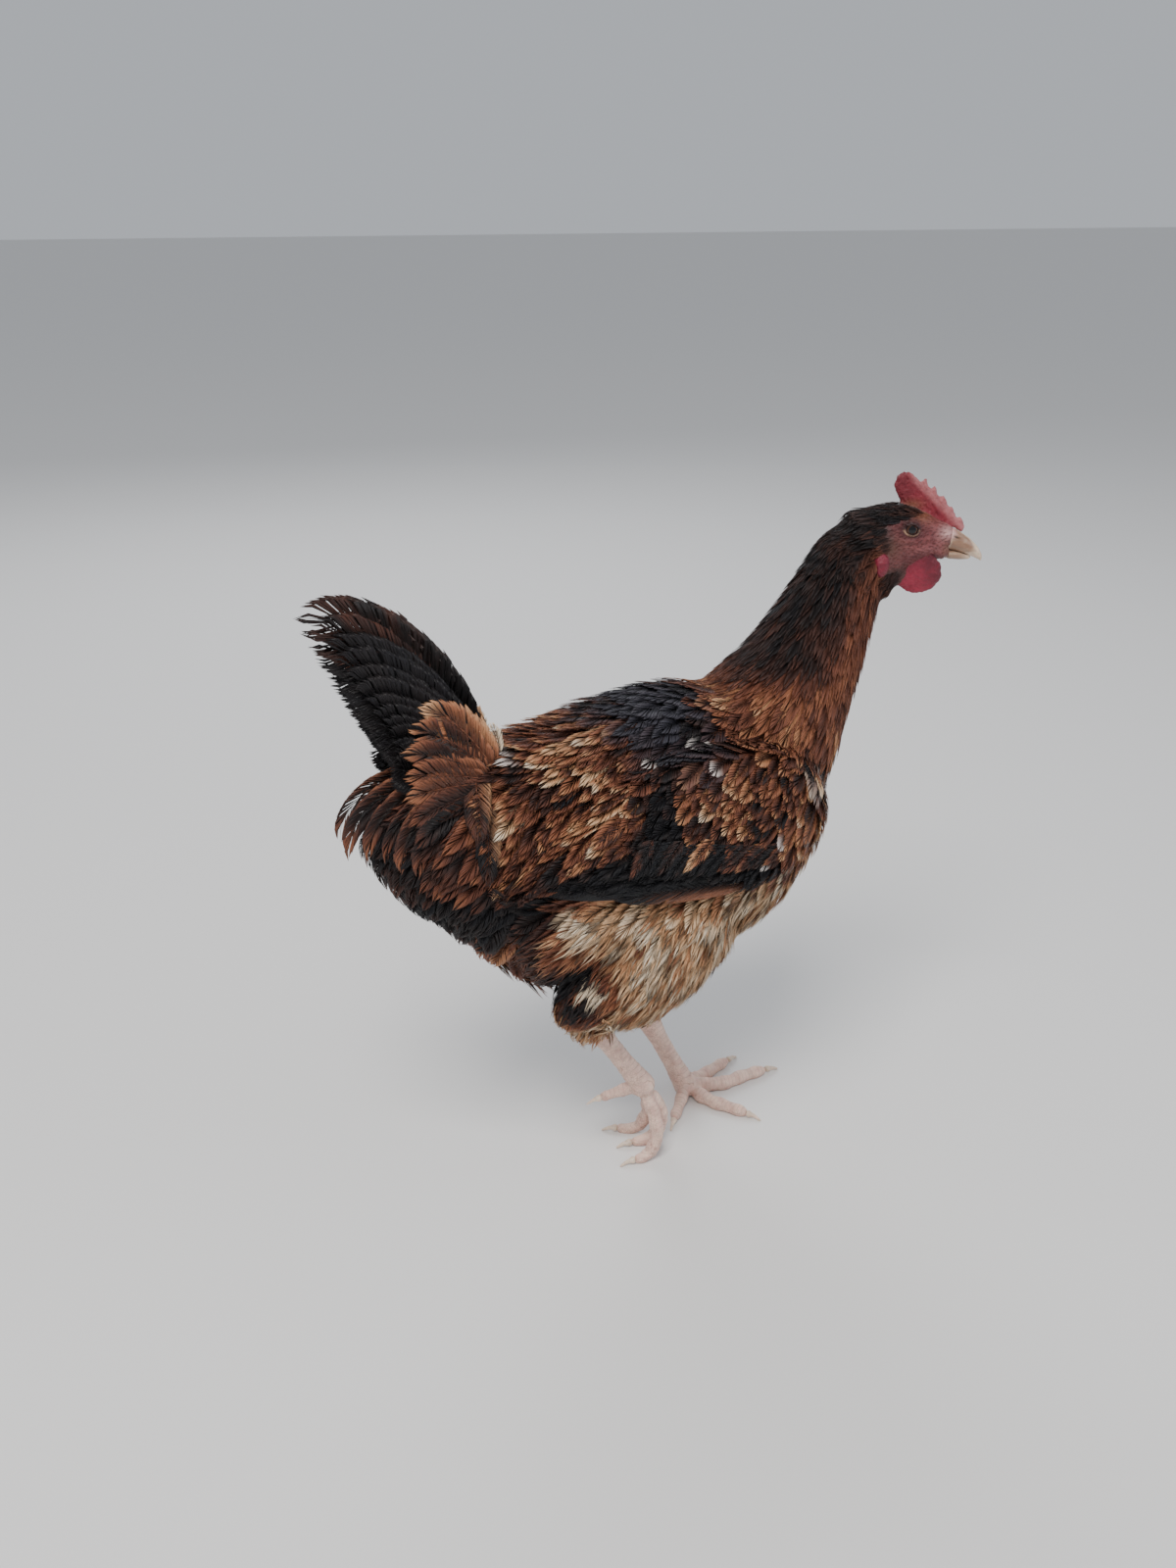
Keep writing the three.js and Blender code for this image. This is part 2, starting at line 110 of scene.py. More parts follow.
# ---------------------------------------------------------------- settings
class HenSizes(bpy.types.PropertyGroup):
    """Sizes a user would change."""

    skin_grain: FloatProperty(
        name="Skin grain",
        description="Size of the skin's finest faces",
        default=0.001,
        unit="LENGTH",
        precision=5,
    )
    body_share: FloatProperty(
        name="Body detail",
        description="Share of faces kept under the feathers",
        default=0.1,
        subtype="FACTOR",
        min=0.0,
        max=1.0,
    )
    feather_size: FloatProperty(
        name="Feather size",
        description="Size of the feathers against their kind's own",
        default=1.0,
        min=0.1,
    )
    pupil: FloatProperty(
        name="Pupil",
        description="Radius of the pupil",
        default=0.002,
        unit="LENGTH",
        precision=5,
    )
    iris: FloatProperty(
        name="Iris",
        description="Radius of the iris",
        default=0.0033,
        unit="LENGTH",
        precision=5,
    )


class HenColours(bpy.types.PropertyGroup):
    """Colours a user would change."""

    comb: FloatVectorProperty(
        name="Comb",
        description="Deep red of the comb",
        default=(0.235, 0.016, 0.030),
        subtype="COLOR",
        min=0.0,
        max=1.0,
    )
    wattle: FloatVectorProperty(
        name="Wattles",
        description="Red of the wattles and ear lobes",
        default=(0.330, 0.024, 0.052),
        subtype="COLOR",
        min=0.0,
        max=1.0,
    )
    face: FloatVectorProperty(
        name="Face",
        description="Red of the bare face",
        default=(0.155, 0.030, 0.034),
        subtype="COLOR",
        min=0.0,
        max=1.0,
    )
    shank: FloatVectorProperty(
        name="Shanks",
        description="Palest skin of shanks and toes",
        default=(0.930, 0.665, 0.550),
        subtype="COLOR",
        min=0.0,
        max=1.0,
    )
    beak: FloatVectorProperty(
        name="Beak",
        description="Pale horn of the beak",
        default=(0.660, 0.500, 0.360),
        subtype="COLOR",
        min=0.0,
        max=1.0,
    )
    claw: FloatVectorProperty(
        name="Claws",
        description="Pale horn of the claws",
        default=(0.780, 0.630, 0.500),
        subtype="COLOR",
        min=0.0,
        max=1.0,
    )
    iris: FloatVectorProperty(
        name="Iris",
        description="Brown of the iris",
        default=(0.062, 0.020, 0.009),
        subtype="COLOR",
        min=0.0,
        max=1.0,
    )


def user_colour(name):
    """A colour from the scene's settings."""
    return np.array(getattr(bpy.context.scene.hen_colours, name))


# ---------------------------------------------------------------- nodes of flesh
TOES = ("back", "inner", "middle", "outer")
WINGS = ["wing_left", "wing_right"]
LOBES = ["wattle_left", "wattle_right", "earlobe_left", "earlobe_right"]
HEAD_NODES = ["head", "comb", *LOBES]
SHANKS = [f"shank_{side}" for side in SIDES]
TOES_OF = {side: [f"toe_{toe}_{side}" for toe in TOES] for side in SIDES}
FOOT_NODES = [node for side in SIDES for node in (f"shank_{side}", *TOES_OF[side])]
BODY_NODES = ["trunk", "rump", "neck", *WINGS, "thigh_left", "thigh_right"]
FLESH = BODY_NODES + HEAD_NODES + FOOT_NODES
CLAWS = [f"claw_{toe}_{side}" for side in SIDES for toe in TOES]
TAIL_PAIRS = 7


def is_on(number, *nodes):
    """Whether each number in FLESH stands for one of these nodes."""
    return np.isin(number, [FLESH.index(node) for node in nodes])


# ---------------------------------------------------------------- small helpers
def step(low, high, value):
    """0 below low, 1 above high and smooth between; low may be the larger."""
    t = np.clip((value - low) / (high - low), 0, 1)
    return t * t * (3 - 2 * t)


def bump_at(value, centre, spread):
    """1 at the centre, falling smoothly to 0 about twice the spread away."""
    return np.exp(-(((value - centre) / spread) ** 2))


def blob(points, centre, spread):
    """1 at a centre and falling off round it, by a spread along each axis."""
    d = (points - np.asarray(centre, float)) / np.asarray(spread, float)
    return np.exp(-(d**2).sum(-1))


def side_blob(points, centre, spread):
    """1 at a centre given forward and up, on both sides alike, and falling off round it."""
    return blob(points[..., ::2], centre, spread)


def size_of(offsets):
    """Length of each offset, in its own unit."""
    return np.linalg.norm(offsets, axis=-1)


def lerp(a, b, share):
    """From a to b."""
    return a + (b - a) * share


def hashed(cells, seed):
    """A number from 0 to 1 for each whole-number cell."""
    n = cells.astype(np.int64)
    mixed = n[..., 0] * 73856093 ^ n[..., 1] * 19349663 ^ n[..., 2] * 83492791 ^ seed * 2654435761
    mixed = (mixed ^ (mixed >> 13)) * 1274126177
    return ((mixed ^ (mixed >> 16)) & 0xFFFFFF) / float(0xFFFFFF)


def noise(points, size, seed=0):
    """Smooth noise from 0 to 1 with cells of that size, in the points' own unit."""
    scaled = points / size
    cell = np.floor(scaled)
    t = scaled - cell
    t = t * t * (3 - 2 * t)
    total = 0.0
    for corner in np.ndindex(2, 2, 2):
        corner = np.array(corner)
        share = np.prod(np.where(corner == 1, t, 1 - t), axis=-1)
        total = total + share * hashed(cell + corner, seed)
    return total


def pick_one(piece):
    """Makes a piece the only selected and active object."""
    for other in bpy.context.selected_objects:
        other.select_set(False)
    piece.hide_set(False)
    piece.select_set(True)
    bpy.context.view_layer.objects.active = piece


def apply_modifier(piece, kind, **settings):
    """Adds a modifier with these settings and applies it."""
    pick_one(piece)
    modifier = piece.modifiers.new(kind.title(), kind)
    for name, value in settings.items():
        setattr(modifier, name, value)
    bpy.ops.object.modifier_apply(modifier=modifier.name)


def merged_copy(name, nodes):
    """One new object holding copies of CAD nodes with their loose triangles joined up."""
    copies = []
    for node in nodes:
        copy = bpy.data.objects.new(name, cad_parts[node].data.copy())
        copy.data.materials.clear()
        bpy.context.scene.collection.objects.link(copy)
        copies.append(copy)
    pick_one(copies[0])
    for copy in copies:
        copy.select_set(True)
    if len(copies) > 1:
        bpy.ops.object.join()
    piece = bpy.context.view_layer.objects.active
    piece.name = name
    bpy.ops.object.mode_set(mode="EDIT")
    bpy.ops.mesh.select_all(action="SELECT")
    bpy.ops.mesh.remove_doubles(threshold=1e-6)
    bpy.ops.object.mode_set(mode="OBJECT")
    return piece


PAINT = "plumage"  # name of the colour stored on every mesh


def places_of(mesh):
    """A mesh's vertex places as an array."""
    co = np.empty(len(mesh.vertices) * 3, np.float32)
    mesh.vertices.foreach_get("co", co)
    return co.reshape(-1, 3).astype(float)


def put_places(mesh, places):
    """Moves a mesh's vertices."""
    mesh.vertices.foreach_set("co", places.astype(np.float32).ravel())
    mesh.update()


def normals_of(mesh):
    """A mesh's vertex normals as an array."""
    out = np.empty(len(mesh.vertices) * 3, np.float32)
    mesh.vertex_normals.foreach_get("vector", out)
    return out.reshape(-1, 3).astype(float)


def edges_of(mesh):
    """A mesh's edges as pairs of vertex numbers."""
    out = np.empty(len(mesh.edges) * 2, np.int32)
    mesh.edges.foreach_get("vertices", out)
    return out.reshape(-1, 2)


def averaged(values, edges, rounds, share=1.0):
    """Values per vertex, each moved by a share towards the mean of its neighbours, some rounds over."""
    values = values.astype(float)
    flat = values.ndim == 1
    if flat:
        values = values[:, None]
    share = np.broadcast_to(np.asarray(share, float), (len(values),))[:, None]
    count = np.bincount(edges.ravel(), minlength=len(values))[:, None]
    for _ in range(rounds):
        total = np.stack(
            [
                np.bincount(edges[:, 0], column[edges[:, 1]], len(values))
                + np.bincount(edges[:, 1], column[edges[:, 0]], len(values))
                for column in values.T
            ],
            -1,
        )
        values = values + share * (total / np.maximum(count, 1) - values)
    return values[:, 0] if flat else values


def write_colours(mesh, colours):
    """Stores a colour for each vertex."""
    rgba = np.ones((len(mesh.vertices), 4), np.float32)
    rgba[:, :3] = colours
    layer = mesh.color_attributes.new(PAINT, "FLOAT_COLOR", "POINT")
    layer.data.foreach_set("color", rgba.ravel())


def write_numbers(mesh, name, numbers):
    """Stores a number for each vertex."""
    layer = mesh.attributes.new(name, "FLOAT", "POINT")
    layer.data.foreach_set("value", np.asarray(numbers, np.float32).ravel())


def settle(piece, slot, *nodes):
    """Puts a finished piece on the frame, in the place of CAD nodes."""
    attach(piece, "root")
    if nodes:
        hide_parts(*nodes)


class NearestNode:
    """Tells which CAD node of flesh is nearest to a point."""

    def __init__(self):
        points, faces, self.owner = [], [], []
        for number, node in enumerate(FLESH):
            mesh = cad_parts[node].data
            start = len(points)
            points.extend(v.co[:] for v in mesh.vertices)
            faces.extend(tuple(start + i for i in p.vertices) for p in mesh.polygons)
            self.owner.extend([number] * len(mesh.polygons))
        self.tree = BVHTree.FromPolygons(points, faces)

    def __call__(self, places):
        """The number in FLESH of the node nearest to each place."""
        owner, find = self.owner, self.tree.find_nearest
        return np.array([owner[find(p)[2]] for p in places.tolist()])


nearest_node = NearestNode()


# ---------------------------------------------------------------- markings, shared by skin and coat
BLACK = np.array((0.0045, 0.0045, 0.0065))
SOOT = np.array((0.014, 0.010, 0.010))
UMBER = np.array((0.054, 0.021, 0.015))
CHESTNUT = np.array((0.145, 0.048, 0.027))
RUSSET = np.array((0.275, 0.102, 0.050))
GOLD = np.array((0.470, 0.235, 0.115))
BUFF = np.array((0.650, 0.430, 0.250))
CREAM = np.array((0.730, 0.600, 0.450))
WHITE = np.array((0.700, 0.640, 0.600))
SEAM_PINK = (0.30, 0.125, 0.095)
# slate painted as the sheen of the shoulder feathers
SLATE_SHEEN = np.array((0.038, 0.036, 0.047))
ASH = np.array((0.230, 0.200, 0.190))
TONES = np.stack([BLACK, SOOT, UMBER, CHESTNUT, RUSSET, GOLD, BUFF, CREAM])


def tone_colour(tone):
    """A feather colour on the scale from 0, black, through chestnut to 1, cream."""
    scaled = np.clip(tone, 0, 1) * (len(TONES) - 1)
    low = np.minimum(scaled.astype(int), len(TONES) - 2)
    share = (scaled - low)[..., None]
    return TONES[low] * (1 - share) + TONES[low + 1] * share


def blend(colours, other, share):
    """Colours moved towards another by a share for each."""
    return colours + (np.asarray(other) - colours) * np.asarray(share)[..., None]


PLAIN_COAT = (0.42, 0.20, 0.12)  # tone, mottle and rim where nothing else is painted
NECK_FOOT = (60, 240)  # forward and up, where the neck's axis leaves the trunk
NECK_AXIS = (0.207, 0.978)
NECK_LENGTH = 135


def round_the_neck(x, z):
    """How far up the neck places lie, from 0 to 1, and how far in front of its axis in millimetres."""
    forward, up = x - NECK_FOOT[0], z - NECK_FOOT[1]
    along = (forward * NECK_AXIS[0] + up * NECK_AXIS[1]) / NECK_LENGTH
    return along, forward * NECK_AXIS[1] - up * NECK_AXIS[0]


def body_markings(places, number):
    """Tone of the plumage at places, how strongly it is mottled and how much lighter its rims are.

    Each patch is painted over the ones before it, with a tone, a mottle and a rim of its own.
    """
    p = in_body(places)
    h = in_head(places)
    x, z, ahead = p[:, 0], p[:, 2], h[:, 0]
    marks = np.stack([np.full(len(p), value) for value in PLAIN_COAT])

    def paint(share, *wanted):
        for value, goal in zip(marks, wanted):
            value += share * (goal - value)

    along, across = round_the_neck(x, z)
    on_neck = is_on(number, "neck", "head").astype(float)
    on_wing = is_on(number, *WINGS).astype(float)
    off_neck = 1 - on_neck
    # saddle, with its gold top and the paler feathers beside the wing
    paint(step(-46, -62, x) * step(218, 236, z), 0.35, 0.26, 0.32)
    paint(side_blob(p, (-90, 272), (26, 15)), 0.54, 0.23, 0.29)
    paint(side_blob(p, (-68, 248), (10, 18)), 0.50, 0.26, 0.32)
    # dark shoulders and the gold edge of the cape in front of them
    paint(step(-66, -54, x) * step(258, 274, z) * off_neck, 0.15, 0.20, 0.06)
    paint(step(-16, -4, x) * step(254, 266, z) * off_neck, 0.48, 0.16, 0.06)
    # wing: mottled bow, upright black bar and the black band over the flight feathers
    paint(on_wing * step(-60, -44, x) * step(264, 254, z), 0.34, 0.28, 0.28)
    paint(np.clip(1.6 * side_blob(p, (-53, 232), (11, 23)), 0, 1), 0.01, 0.03, 0.0)
    band_top = 219 + 9 * bump_at(x, -66, 16)
    band = step(band_top + 4, band_top - 4, z) * step(186, 194, z) * step(-134, -120, x)
    paint(on_wing * (band * step(24, 8, x)), 0.01, 0.03, 0.0)
    # breast
    paint(step(26, 46, x) * step(258, 246, z) * off_neck, 0.42, 0.31, 0.32)
    # buff belly, more mottled where it meets the breast
    belly = step(193, 187, z) * step(84, 50, x) * step(-128, -104, x) * (1 - on_wing)
    paint(belly, 0.85, 0.23, 0.10)
    paint(side_blob(p, (46, 186), (24, 26)) * (1 - on_wing), 0.66, 0.40, 0.24)
    # rump: brown, rust at the tail's root and below it, black behind and under, buff round the vent
    paint(step(-98, -125, x) * step(270, 250, z), 0.32, 0.24, 0.26)
    paint(side_blob(p, (-136, 240), (12, 22)), 0.58, 0.24, 0.30)
    paint(side_blob(p, (-150, 212), (14, 22)), 0.36, 0.22, 0.26)
    paint(side_blob(p, (-182, 236), (22, 34)), 0.05, 0.10, 0.10)
    paint(step(-108, -128, x) * step(210, 194, z), 0.06, 0.12, 0.12)
    paint(step(-108, -124, x) * step(172, 160, z), 0.56, 0.28, 0.12)
    # black patches at the hocks, the right one with a white spot
    hocks = blob(p, (-92, -38, 133), (13, 22, 17)) + blob(p, (-30, 34, 100), (8, 14, 9))
    paint(np.clip(2.4 * hocks, 0, 1), 0.04, 0.04, 0.04)
    paint(np.clip(2.5 * blob(p, (-85, -44, 131), (5, 12, 5)), 0, 1), 1.0, 0.0, 0.0)
    # neck: dark, with a russet front and a gold foot
    paint(on_neck, 0.17, 0.08, 0.05)
    front = across - lerp(-27, 6, along)
    paint(on_neck * step(-12, 9, front) * step(1.04, 0.88, along), 0.41, 0.10, 0.05)
    paint(on_neck * step(0.41, 0.27, along), 0.48, 0.16, 0.06)
    # head: brow, the side behind the ear and the throat
    paint(side_blob(h, (38, 377), (8, 4)) * on_neck, 0.46, 0.05, 0.02)
    paint(step(4, 12, ahead) * step(368, 360, z) * step(346, 352, z) * on_neck, 0.38, 0.10, 0.02)
    paint(step(8, 14, ahead) * step(350, 346, z) * on_neck, 0.24, 0.10, 0.02)
    return marks


def plumage_tone(places, number):
    """Tone of the coat at places, patches included, with its mottle and its rims' lightness."""
    tone, mottle, rim = body_markings(places, number)
    patches = lerp(noise(places / MM, 5, 4), noise(places / MM, 11, 3), 0.65)
    return tone + mottle * (patches - 0.5) * 2.4, mottle, rim


# ---------------------------------------------------------------- materials
def new_material(name, roughness, sockets=None):
    """A principled material; every other setting goes on its own socket."""
    material = bpy.data.materials.new(name)
    material.use_nodes = True
    tree = material.node_tree
    shader = tree.nodes["Principled BSDF"]
    shader.inputs["Roughness"].default_value = roughness
    for socket, value in (sockets or {}).items():
        shader.inputs[socket].default_value = value
    return material, tree, shader


def node(tree, kind, inputs=None, **settings):
    """Adds a shader node."""
    made = tree.nodes.new(kind)
    for name, value in settings.items():
        setattr(made, name, value)
    for name, value in (inputs or {}).items():
        if isinstance(value, bpy.types.NodeSocket):
            tree.links.new(value, made.inputs[name])
        else:
            made.inputs[name].default_value = value
    return made


def painted(tree):
    """The colour stored on the mesh."""
    return node(tree, "ShaderNodeAttribute", attribute_name=PAINT).outputs["Color"]


def grain(tree, scale, detail=3.0, kind="ShaderNodeTexNoise"):
    """A texture node on the piece's own place in space."""
    place = node(tree, "ShaderNodeTexCoord").outputs["Object"]
    made = node(tree, kind, {"Vector": place, "Scale": scale})
    if "Detail" in made.inputs:
        made.inputs["Detail"].default_value = detail
    return made


def shaded_by(tree, colour, factor, dark, light):
    """A colour multiplied from dark to light by a factor."""
    limits = {"Value": factor, "To Min": dark, "To Max": light}
    amount = node(tree, "ShaderNodeMapRange", limits).outputs["Result"]
    mixed = node(tree, "ShaderNodeVectorMath", {0: colour, 1: (1, 1, 1)}, operation="MULTIPLY")
    tree.links.new(amount, mixed.inputs[1])
    return mixed.outputs["Vector"]


def arithmetic(tree, operation, *values):
    """The result of a sum on sockets and numbers."""
    return node(tree, "ShaderNodeMath", dict(enumerate(values)), operation=operation).outputs["Value"]


MIX_A, MIX_B, MIX_RESULT = 6, 7, 2  # the colour sockets of a mix node


def roughened(tree, shader, height, distance, strength):
    """Adds a bump from a height."""
    bump = node(tree, "ShaderNodeBump", {"Height": height, "Strength": strength, "Distance": distance})
    tree.links.new(bump.outputs["Normal"], shader.inputs["Normal"])


def feather_material(name, roughness, sheen):
    """Feather: its painted colour, streaked finely along its barbs, with a soft sheen."""
    sockets = {"Sheen Weight": sheen, "Sheen Roughness": 0.4, "Specular IOR Level": 0.25}
    material, tree, shader = new_material(name, roughness, sockets)
    barbs = node(tree, "ShaderNodeAttribute", attribute_name="barbs").outputs["Fac"]
    streaks = {"W": barbs, "Scale": 1.0, "Detail": 2.0}
    lines = node(tree, "ShaderNodeTexNoise", streaks, noise_dimensions="1D").outputs["Fac"]
    fine = grain(tree, scale=900.0).outputs["Fac"]
    colour = shaded_by(tree, painted(tree), lines, dark=0.6, light=1.4)
    colour = shaded_by(tree, colour, fine, dark=0.75, light=1.25)
    tree.links.new(colour, shader.inputs["Base Color"])
    roughened(tree, shader, lines, distance=0.0002, strength=0.5)
    return material


def skin_material():
    """Skin: painted colour with blotches, fine wrinkles and a little light passing through."""
    sockets = {
        "Subsurface Weight": 0.12,
        "Subsurface Scale": 0.0015,
        "Subsurface Radius": (1.0, 0.35, 0.2),
        "Specular IOR Level": 0.4,
    }
    material, tree, shader = new_material("hen_skin", roughness=0.5, sockets=sockets)
    blotches = grain(tree, scale=220.0, detail=4.0).outputs["Fac"]
    pores = grain(tree, scale=1400.0, kind="ShaderNodeTexVoronoi").outputs["Distance"]
    colour = shaded_by(tree, painted(tree), blotches, dark=0.7, light=1.3)
    colour = shaded_by(tree, colour, pores, dark=1.12, light=0.8)
    # seams between the scutes, counted in rows, and between the small scales
    rows = node(tree, "ShaderNodeAttribute", attribute_name="rows").outputs["Fac"]
    along_row = arithmetic(tree, "FRACT", rows)
    place = node(tree, "ShaderNodeTexCoord").outputs["Object"]
    scales = {"Vector": place, "Scale": 620.0}
    cells = node(tree, "ShaderNodeTexVoronoi", scales, feature="DISTANCE_TO_EDGE").outputs["Distance"]
    seams = []
    for name, value, reach in (("scaly", along_row, 0.14), ("pebbly", cells, 0.09)):
        share = node(tree, "ShaderNodeAttribute", attribute_name=name).outputs["Fac"]
        limits = {"Value": value, "From Max": reach, "To Min": 1.0, "To Max": 0.0}
        near = node(tree, "ShaderNodeMapRange", limits).outputs["Result"]
        seams.append(arithmetic(tree, "MULTIPLY", near, share))
    seam = arithmetic(tree, "MAXIMUM", *seams)
    crack = arithmetic(tree, "MULTIPLY", seam, 0.6)
    tinted = node(tree, "ShaderNodeMix", {"Factor": crack}, data_type="RGBA")
    tree.links.new(colour, tinted.inputs[MIX_A])
    tinted.inputs[MIX_B].default_value = (*SEAM_PINK, 1.0)
    tree.links.new(tinted.outputs[MIX_RESULT], shader.inputs["Base Color"])
    relief = arithmetic(tree, "SUBTRACT", pores, seam)
    roughened(tree, shader, relief, distance=0.0003, strength=0.5)
    return material


# ---------------------------------------------------------------- the skin
COAT_DEPTHS = {
    "trunk": 6,
    "rump": 10,
    "neck": 5,
    "wing_left": 3,
    "wing_right": 3,
    "thigh_left": 5,
    "thigh_right": 5,
}
HEAD_COAT_DEPTH = 1.0


def coat_depth(places, number):
    """How far the skin lies under the CAD surface, in metres."""
    depths = np.array([COAT_DEPTHS.get(name, 0.0) for name in FLESH])
    plumed = feathered_head(in_head(places)) * is_on(number, "head")
    return (depths[number] + HEAD_COAT_DEPTH * plumed) * MM


def feathered_head(h):
    """1 where the head carries feathers and 0 on its bare face; h is in the head's own directions."""
    forward, up = h[..., 0], h[..., 2]
    crown = step(-2.5, 2.0, up - (372.6 + 0.13 * forward)) * step(46, 36, forward)
    behind = step(18.5, 8.5, forward + 0.15 * (up - 369)) * step(355, 361, up)
    throat = step(350, 344, up) * step(27, 20, forward)
    nape = step(2, -4, forward)
    return np.clip(np.max([crown, behind, throat, nape], axis=0), 0, 1)


EYE_OPENING = (3.3, 2.6)  # half width and half height, in millimetres
EYE_SLANT = 0.12  # how far its front corner lies lower, for each millimetre forward
EYE_SURROUNDINGS = 14  # millimetres from an eye's centre within which its ring counts
LID = 0.5  # thickness of a lid over the eyeball
LID_REACH = 2.8  # how many times the opening's size the lids' shape reaches


def round_the_eye(places, side):
    """Offsets from an eye's centre, forward, out and up, and rings round it, 1 at the opening's edge."""
    d = (places - EYE_CENTRES[side]) / MM
    offset = np.stack([d @ HEAD_FORWARD, d @ HEAD_SIDE * SIDES[side], d[:, 2]], -1)
    height = offset[:, 2] + EYE_SLANT * offset[:, 0]
    ring = size_of(np.stack([offset[:, 0], height], -1) / EYE_OPENING)
    return offset, np.where((offset[:, 1] > 0) & (size_of(d) < EYE_SURROUNDINGS), ring, np.inf)


def shape_eye_sockets(places):
    """Wraps the skin round each eyeball as lids, with an almond opening."""
    for side, sign in SIDES.items():
        offset, ring = round_the_eye(places, side)
        forward, out, up = offset.T
        ball = np.sqrt(np.maximum((EYE_RADIUS / MM) ** 2 - forward**2 - up**2, 0.0))
        upper = step(-0.5, 1.5, up)
        rim = LID + lerp(0.35, 0.75, upper) * bump_at(ring, 1.22, 0.22)
        rim = rim - 0.25 * bump_at(ring, 1.62, 0.16) + 0.25 * bump_at(ring, 2.0, 0.22)
        lid = np.maximum(ball + rim, out - 0.5 * bump_at(ring, 1.7, 0.3))
        lid = lerp(lid, out, step(1.9, 2.7, ring))
        wanted = np.where(ring < 1.0, ball - 1.6, lid)
        moved = places + np.outer((wanted - out) * sign * MM, HEAD_SIDE)
        places = np.where((ring < LID_REACH)[:, None], moved, places)
    return places


def sculpted_height(places, normals, number):
    """Height of folds, wrinkles and scales over the smooth skin, in metres."""
    h = in_head(places)
    ahead, up = h[:, 0], h[:, 2]
    name = np.array(FLESH)[number]
    on_face = (name == "head") * (1 - feathered_head(h))
    warp = 3.0 * (noise(places / MM, 5, 8) - 0.5)
    creases = np.sin((ahead * 0.45 + up * 0.9 + warp) * 3.0) * noise(places / MM, 6, 7)
    grains = 0.30 * (noise(places / MM, 1.2, 9) - 0.5) + 0.16 * (noise(places / MM, 0.6, 10) - 0.5)
    brow = 0.8 * side_blob(h, (26, 375.2), (7, 1.3))
    pouch = 0.5 * side_blob(h, (26, 363.6), (6, 1.2)) - 0.4 * side_blob(h, (27, 361.6), (7, 0.8))
    cheek = 0.7 * side_blob(h, (40, 359), (8, 2.2))
    cere = 0.9 * step(46.5, 49.5, ahead + 0.2 * (up - 360))
    facing_down = np.sqrt(np.clip(-normals[:, 2], 0, 1))
    chin = 3.7 * step(38, 47.5, ahead) * step(359, 356, up) * facing_down
    face = on_face * (0.34 * creases + 1.5 * grains + brow + pouch + cheek + cere + chin)
    grooves = np.stack([ahead * 0.9 + up * 0.5, h[:, 1], up * 0.25], -1)
    comb = (name == "comb") * (0.9 * (noise(grooves, 1.1, 17) - 0.5) + 1.9 * grains)
    lobes = is_on(number, *LOBES) * (0.6 * (noise(places / MM, 2.6, 18) - 0.5) + 1.6 * grains)
    return (face + comb + lobes + foot_scales(places, normals, number)) * MM


TOE_SCUTES = 2.6  # millimetres between the scutes of the toes
SHANK_SCUTES = TOE_SCUTES * 1.15
TOE_JOINTS = 13  # millimetres between the swellings of the toes
BALL_INSET = (7, 6)  # of the foot's ball, from the front and the bottom of the shank's box


def ball_of_foot(side):
    """Where a foot's toes meet its shank."""
    low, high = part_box(f"shank_{side}")
    return np.array((high.x - BALL_INSET[0] * MM, (low.y + high.y) / 2, low.z + BALL_INSET[1] * MM))


def scute_share(normals, number):
    """1 where the broad scutes lie, on top of the toes and down the front of the shanks."""
    facing = normals @ unit(np.array((0.6, 0.0, 0.8)))
    return step(-0.1, 0.3, facing) * is_on(number, *FOOT_NODES)


def scale_rows(places, number):
    """Counts the rows of scales from the ball of the foot out along toes and shanks."""
    rows = np.zeros(len(places))
    lean = 0.35 * in_body(places)[:, 0]
    for side in SIDES:
        ball = ball_of_foot(side)
        reach = size_of(places - ball) / MM
        rows = np.where(is_on(number, *TOES_OF[side]), reach / TOE_SCUTES, rows)
        offset_row = 0.5 * (places[:, 1] > ball[1])
        shank = (reach + lean) / SHANK_SCUTES + offset_row
        rows = np.where(is_on(number, f"shank_{side}"), shank, rows)
    return rows


def foot_scales(places, normals, number):
    """Height of scutes and toe joints on the feet, in millimetres."""
    foot = is_on(number, *FOOT_NODES)
    rows = scale_rows(places, number)
    toe = foot & ~is_on(number, *SHANKS)
    joints = 0.35 * np.cos(rows * TOE_SCUTES / TOE_JOINTS * 2 * np.pi) * toe
    pebbles = 0.4 * (noise(places / MM, 1.5, 51) - 0.5) * foot
    return scute_share(normals, number) * (0.34 * (rows % 1.0) ** 0.6 - 0.2) + joints + pebbles


COMB_PINK = np.array((0.560, 0.210, 0.215))
WATTLE_DARK = np.array((0.150, 0.012, 0.026))
FACE_PALE = np.array((0.255, 0.072, 0.070))
EAR_BUFF = np.array((0.120, 0.058, 0.040))
BROW_BROWN = np.array((0.200, 0.072, 0.034))
LID_PALE = np.array((0.460, 0.290, 0.180))
CERE_PINK = np.array((0.640, 0.380, 0.360))
SHANK_PINK = np.array((0.600, 0.300, 0.260))
HORN_BROWN = np.array((0.240, 0.120, 0.070))


def skin_colours(places, number):
    """Colour of the skin: the coat's own markings under feathers, red on the head, pale on the feet."""
    plumage = tone_colour(plumage_tone(places, number)[0] * 0.9)
    h = in_head(places)
    patches = noise(places / MM, 3.2, 12)
    colours = plumage.copy()

    def give(nodes, wanted):
        on = is_on(number, *nodes)
        colours[on] = wanted[on]

    give(["head"], blend(face_colours(places, h, patches), plumage * 0.8, feathered_head(h)))
    give(["comb"], comb_colours(h))
    # painted shade: the wattles darken towards their front and top, with blotches
    shade = np.clip(step(28, 46, h[:, 0] + 0.6 * (h[:, 2] - 345)) + 0.4 * (patches - 0.5), 0, 1)
    give(LOBES[:2], lerp(user_colour("wattle"), WATTLE_DARK, shade[:, None]))
    give(LOBES[2:], lerp(user_colour("wattle"), WATTLE_DARK, 0.7) + 0 * h)
    pink = np.clip(0.7 * (patches - 0.3), 0, 1)
    give(FOOT_NODES, blend(user_colour("shank") + 0 * h, SHANK_PINK, pink))
    return colours


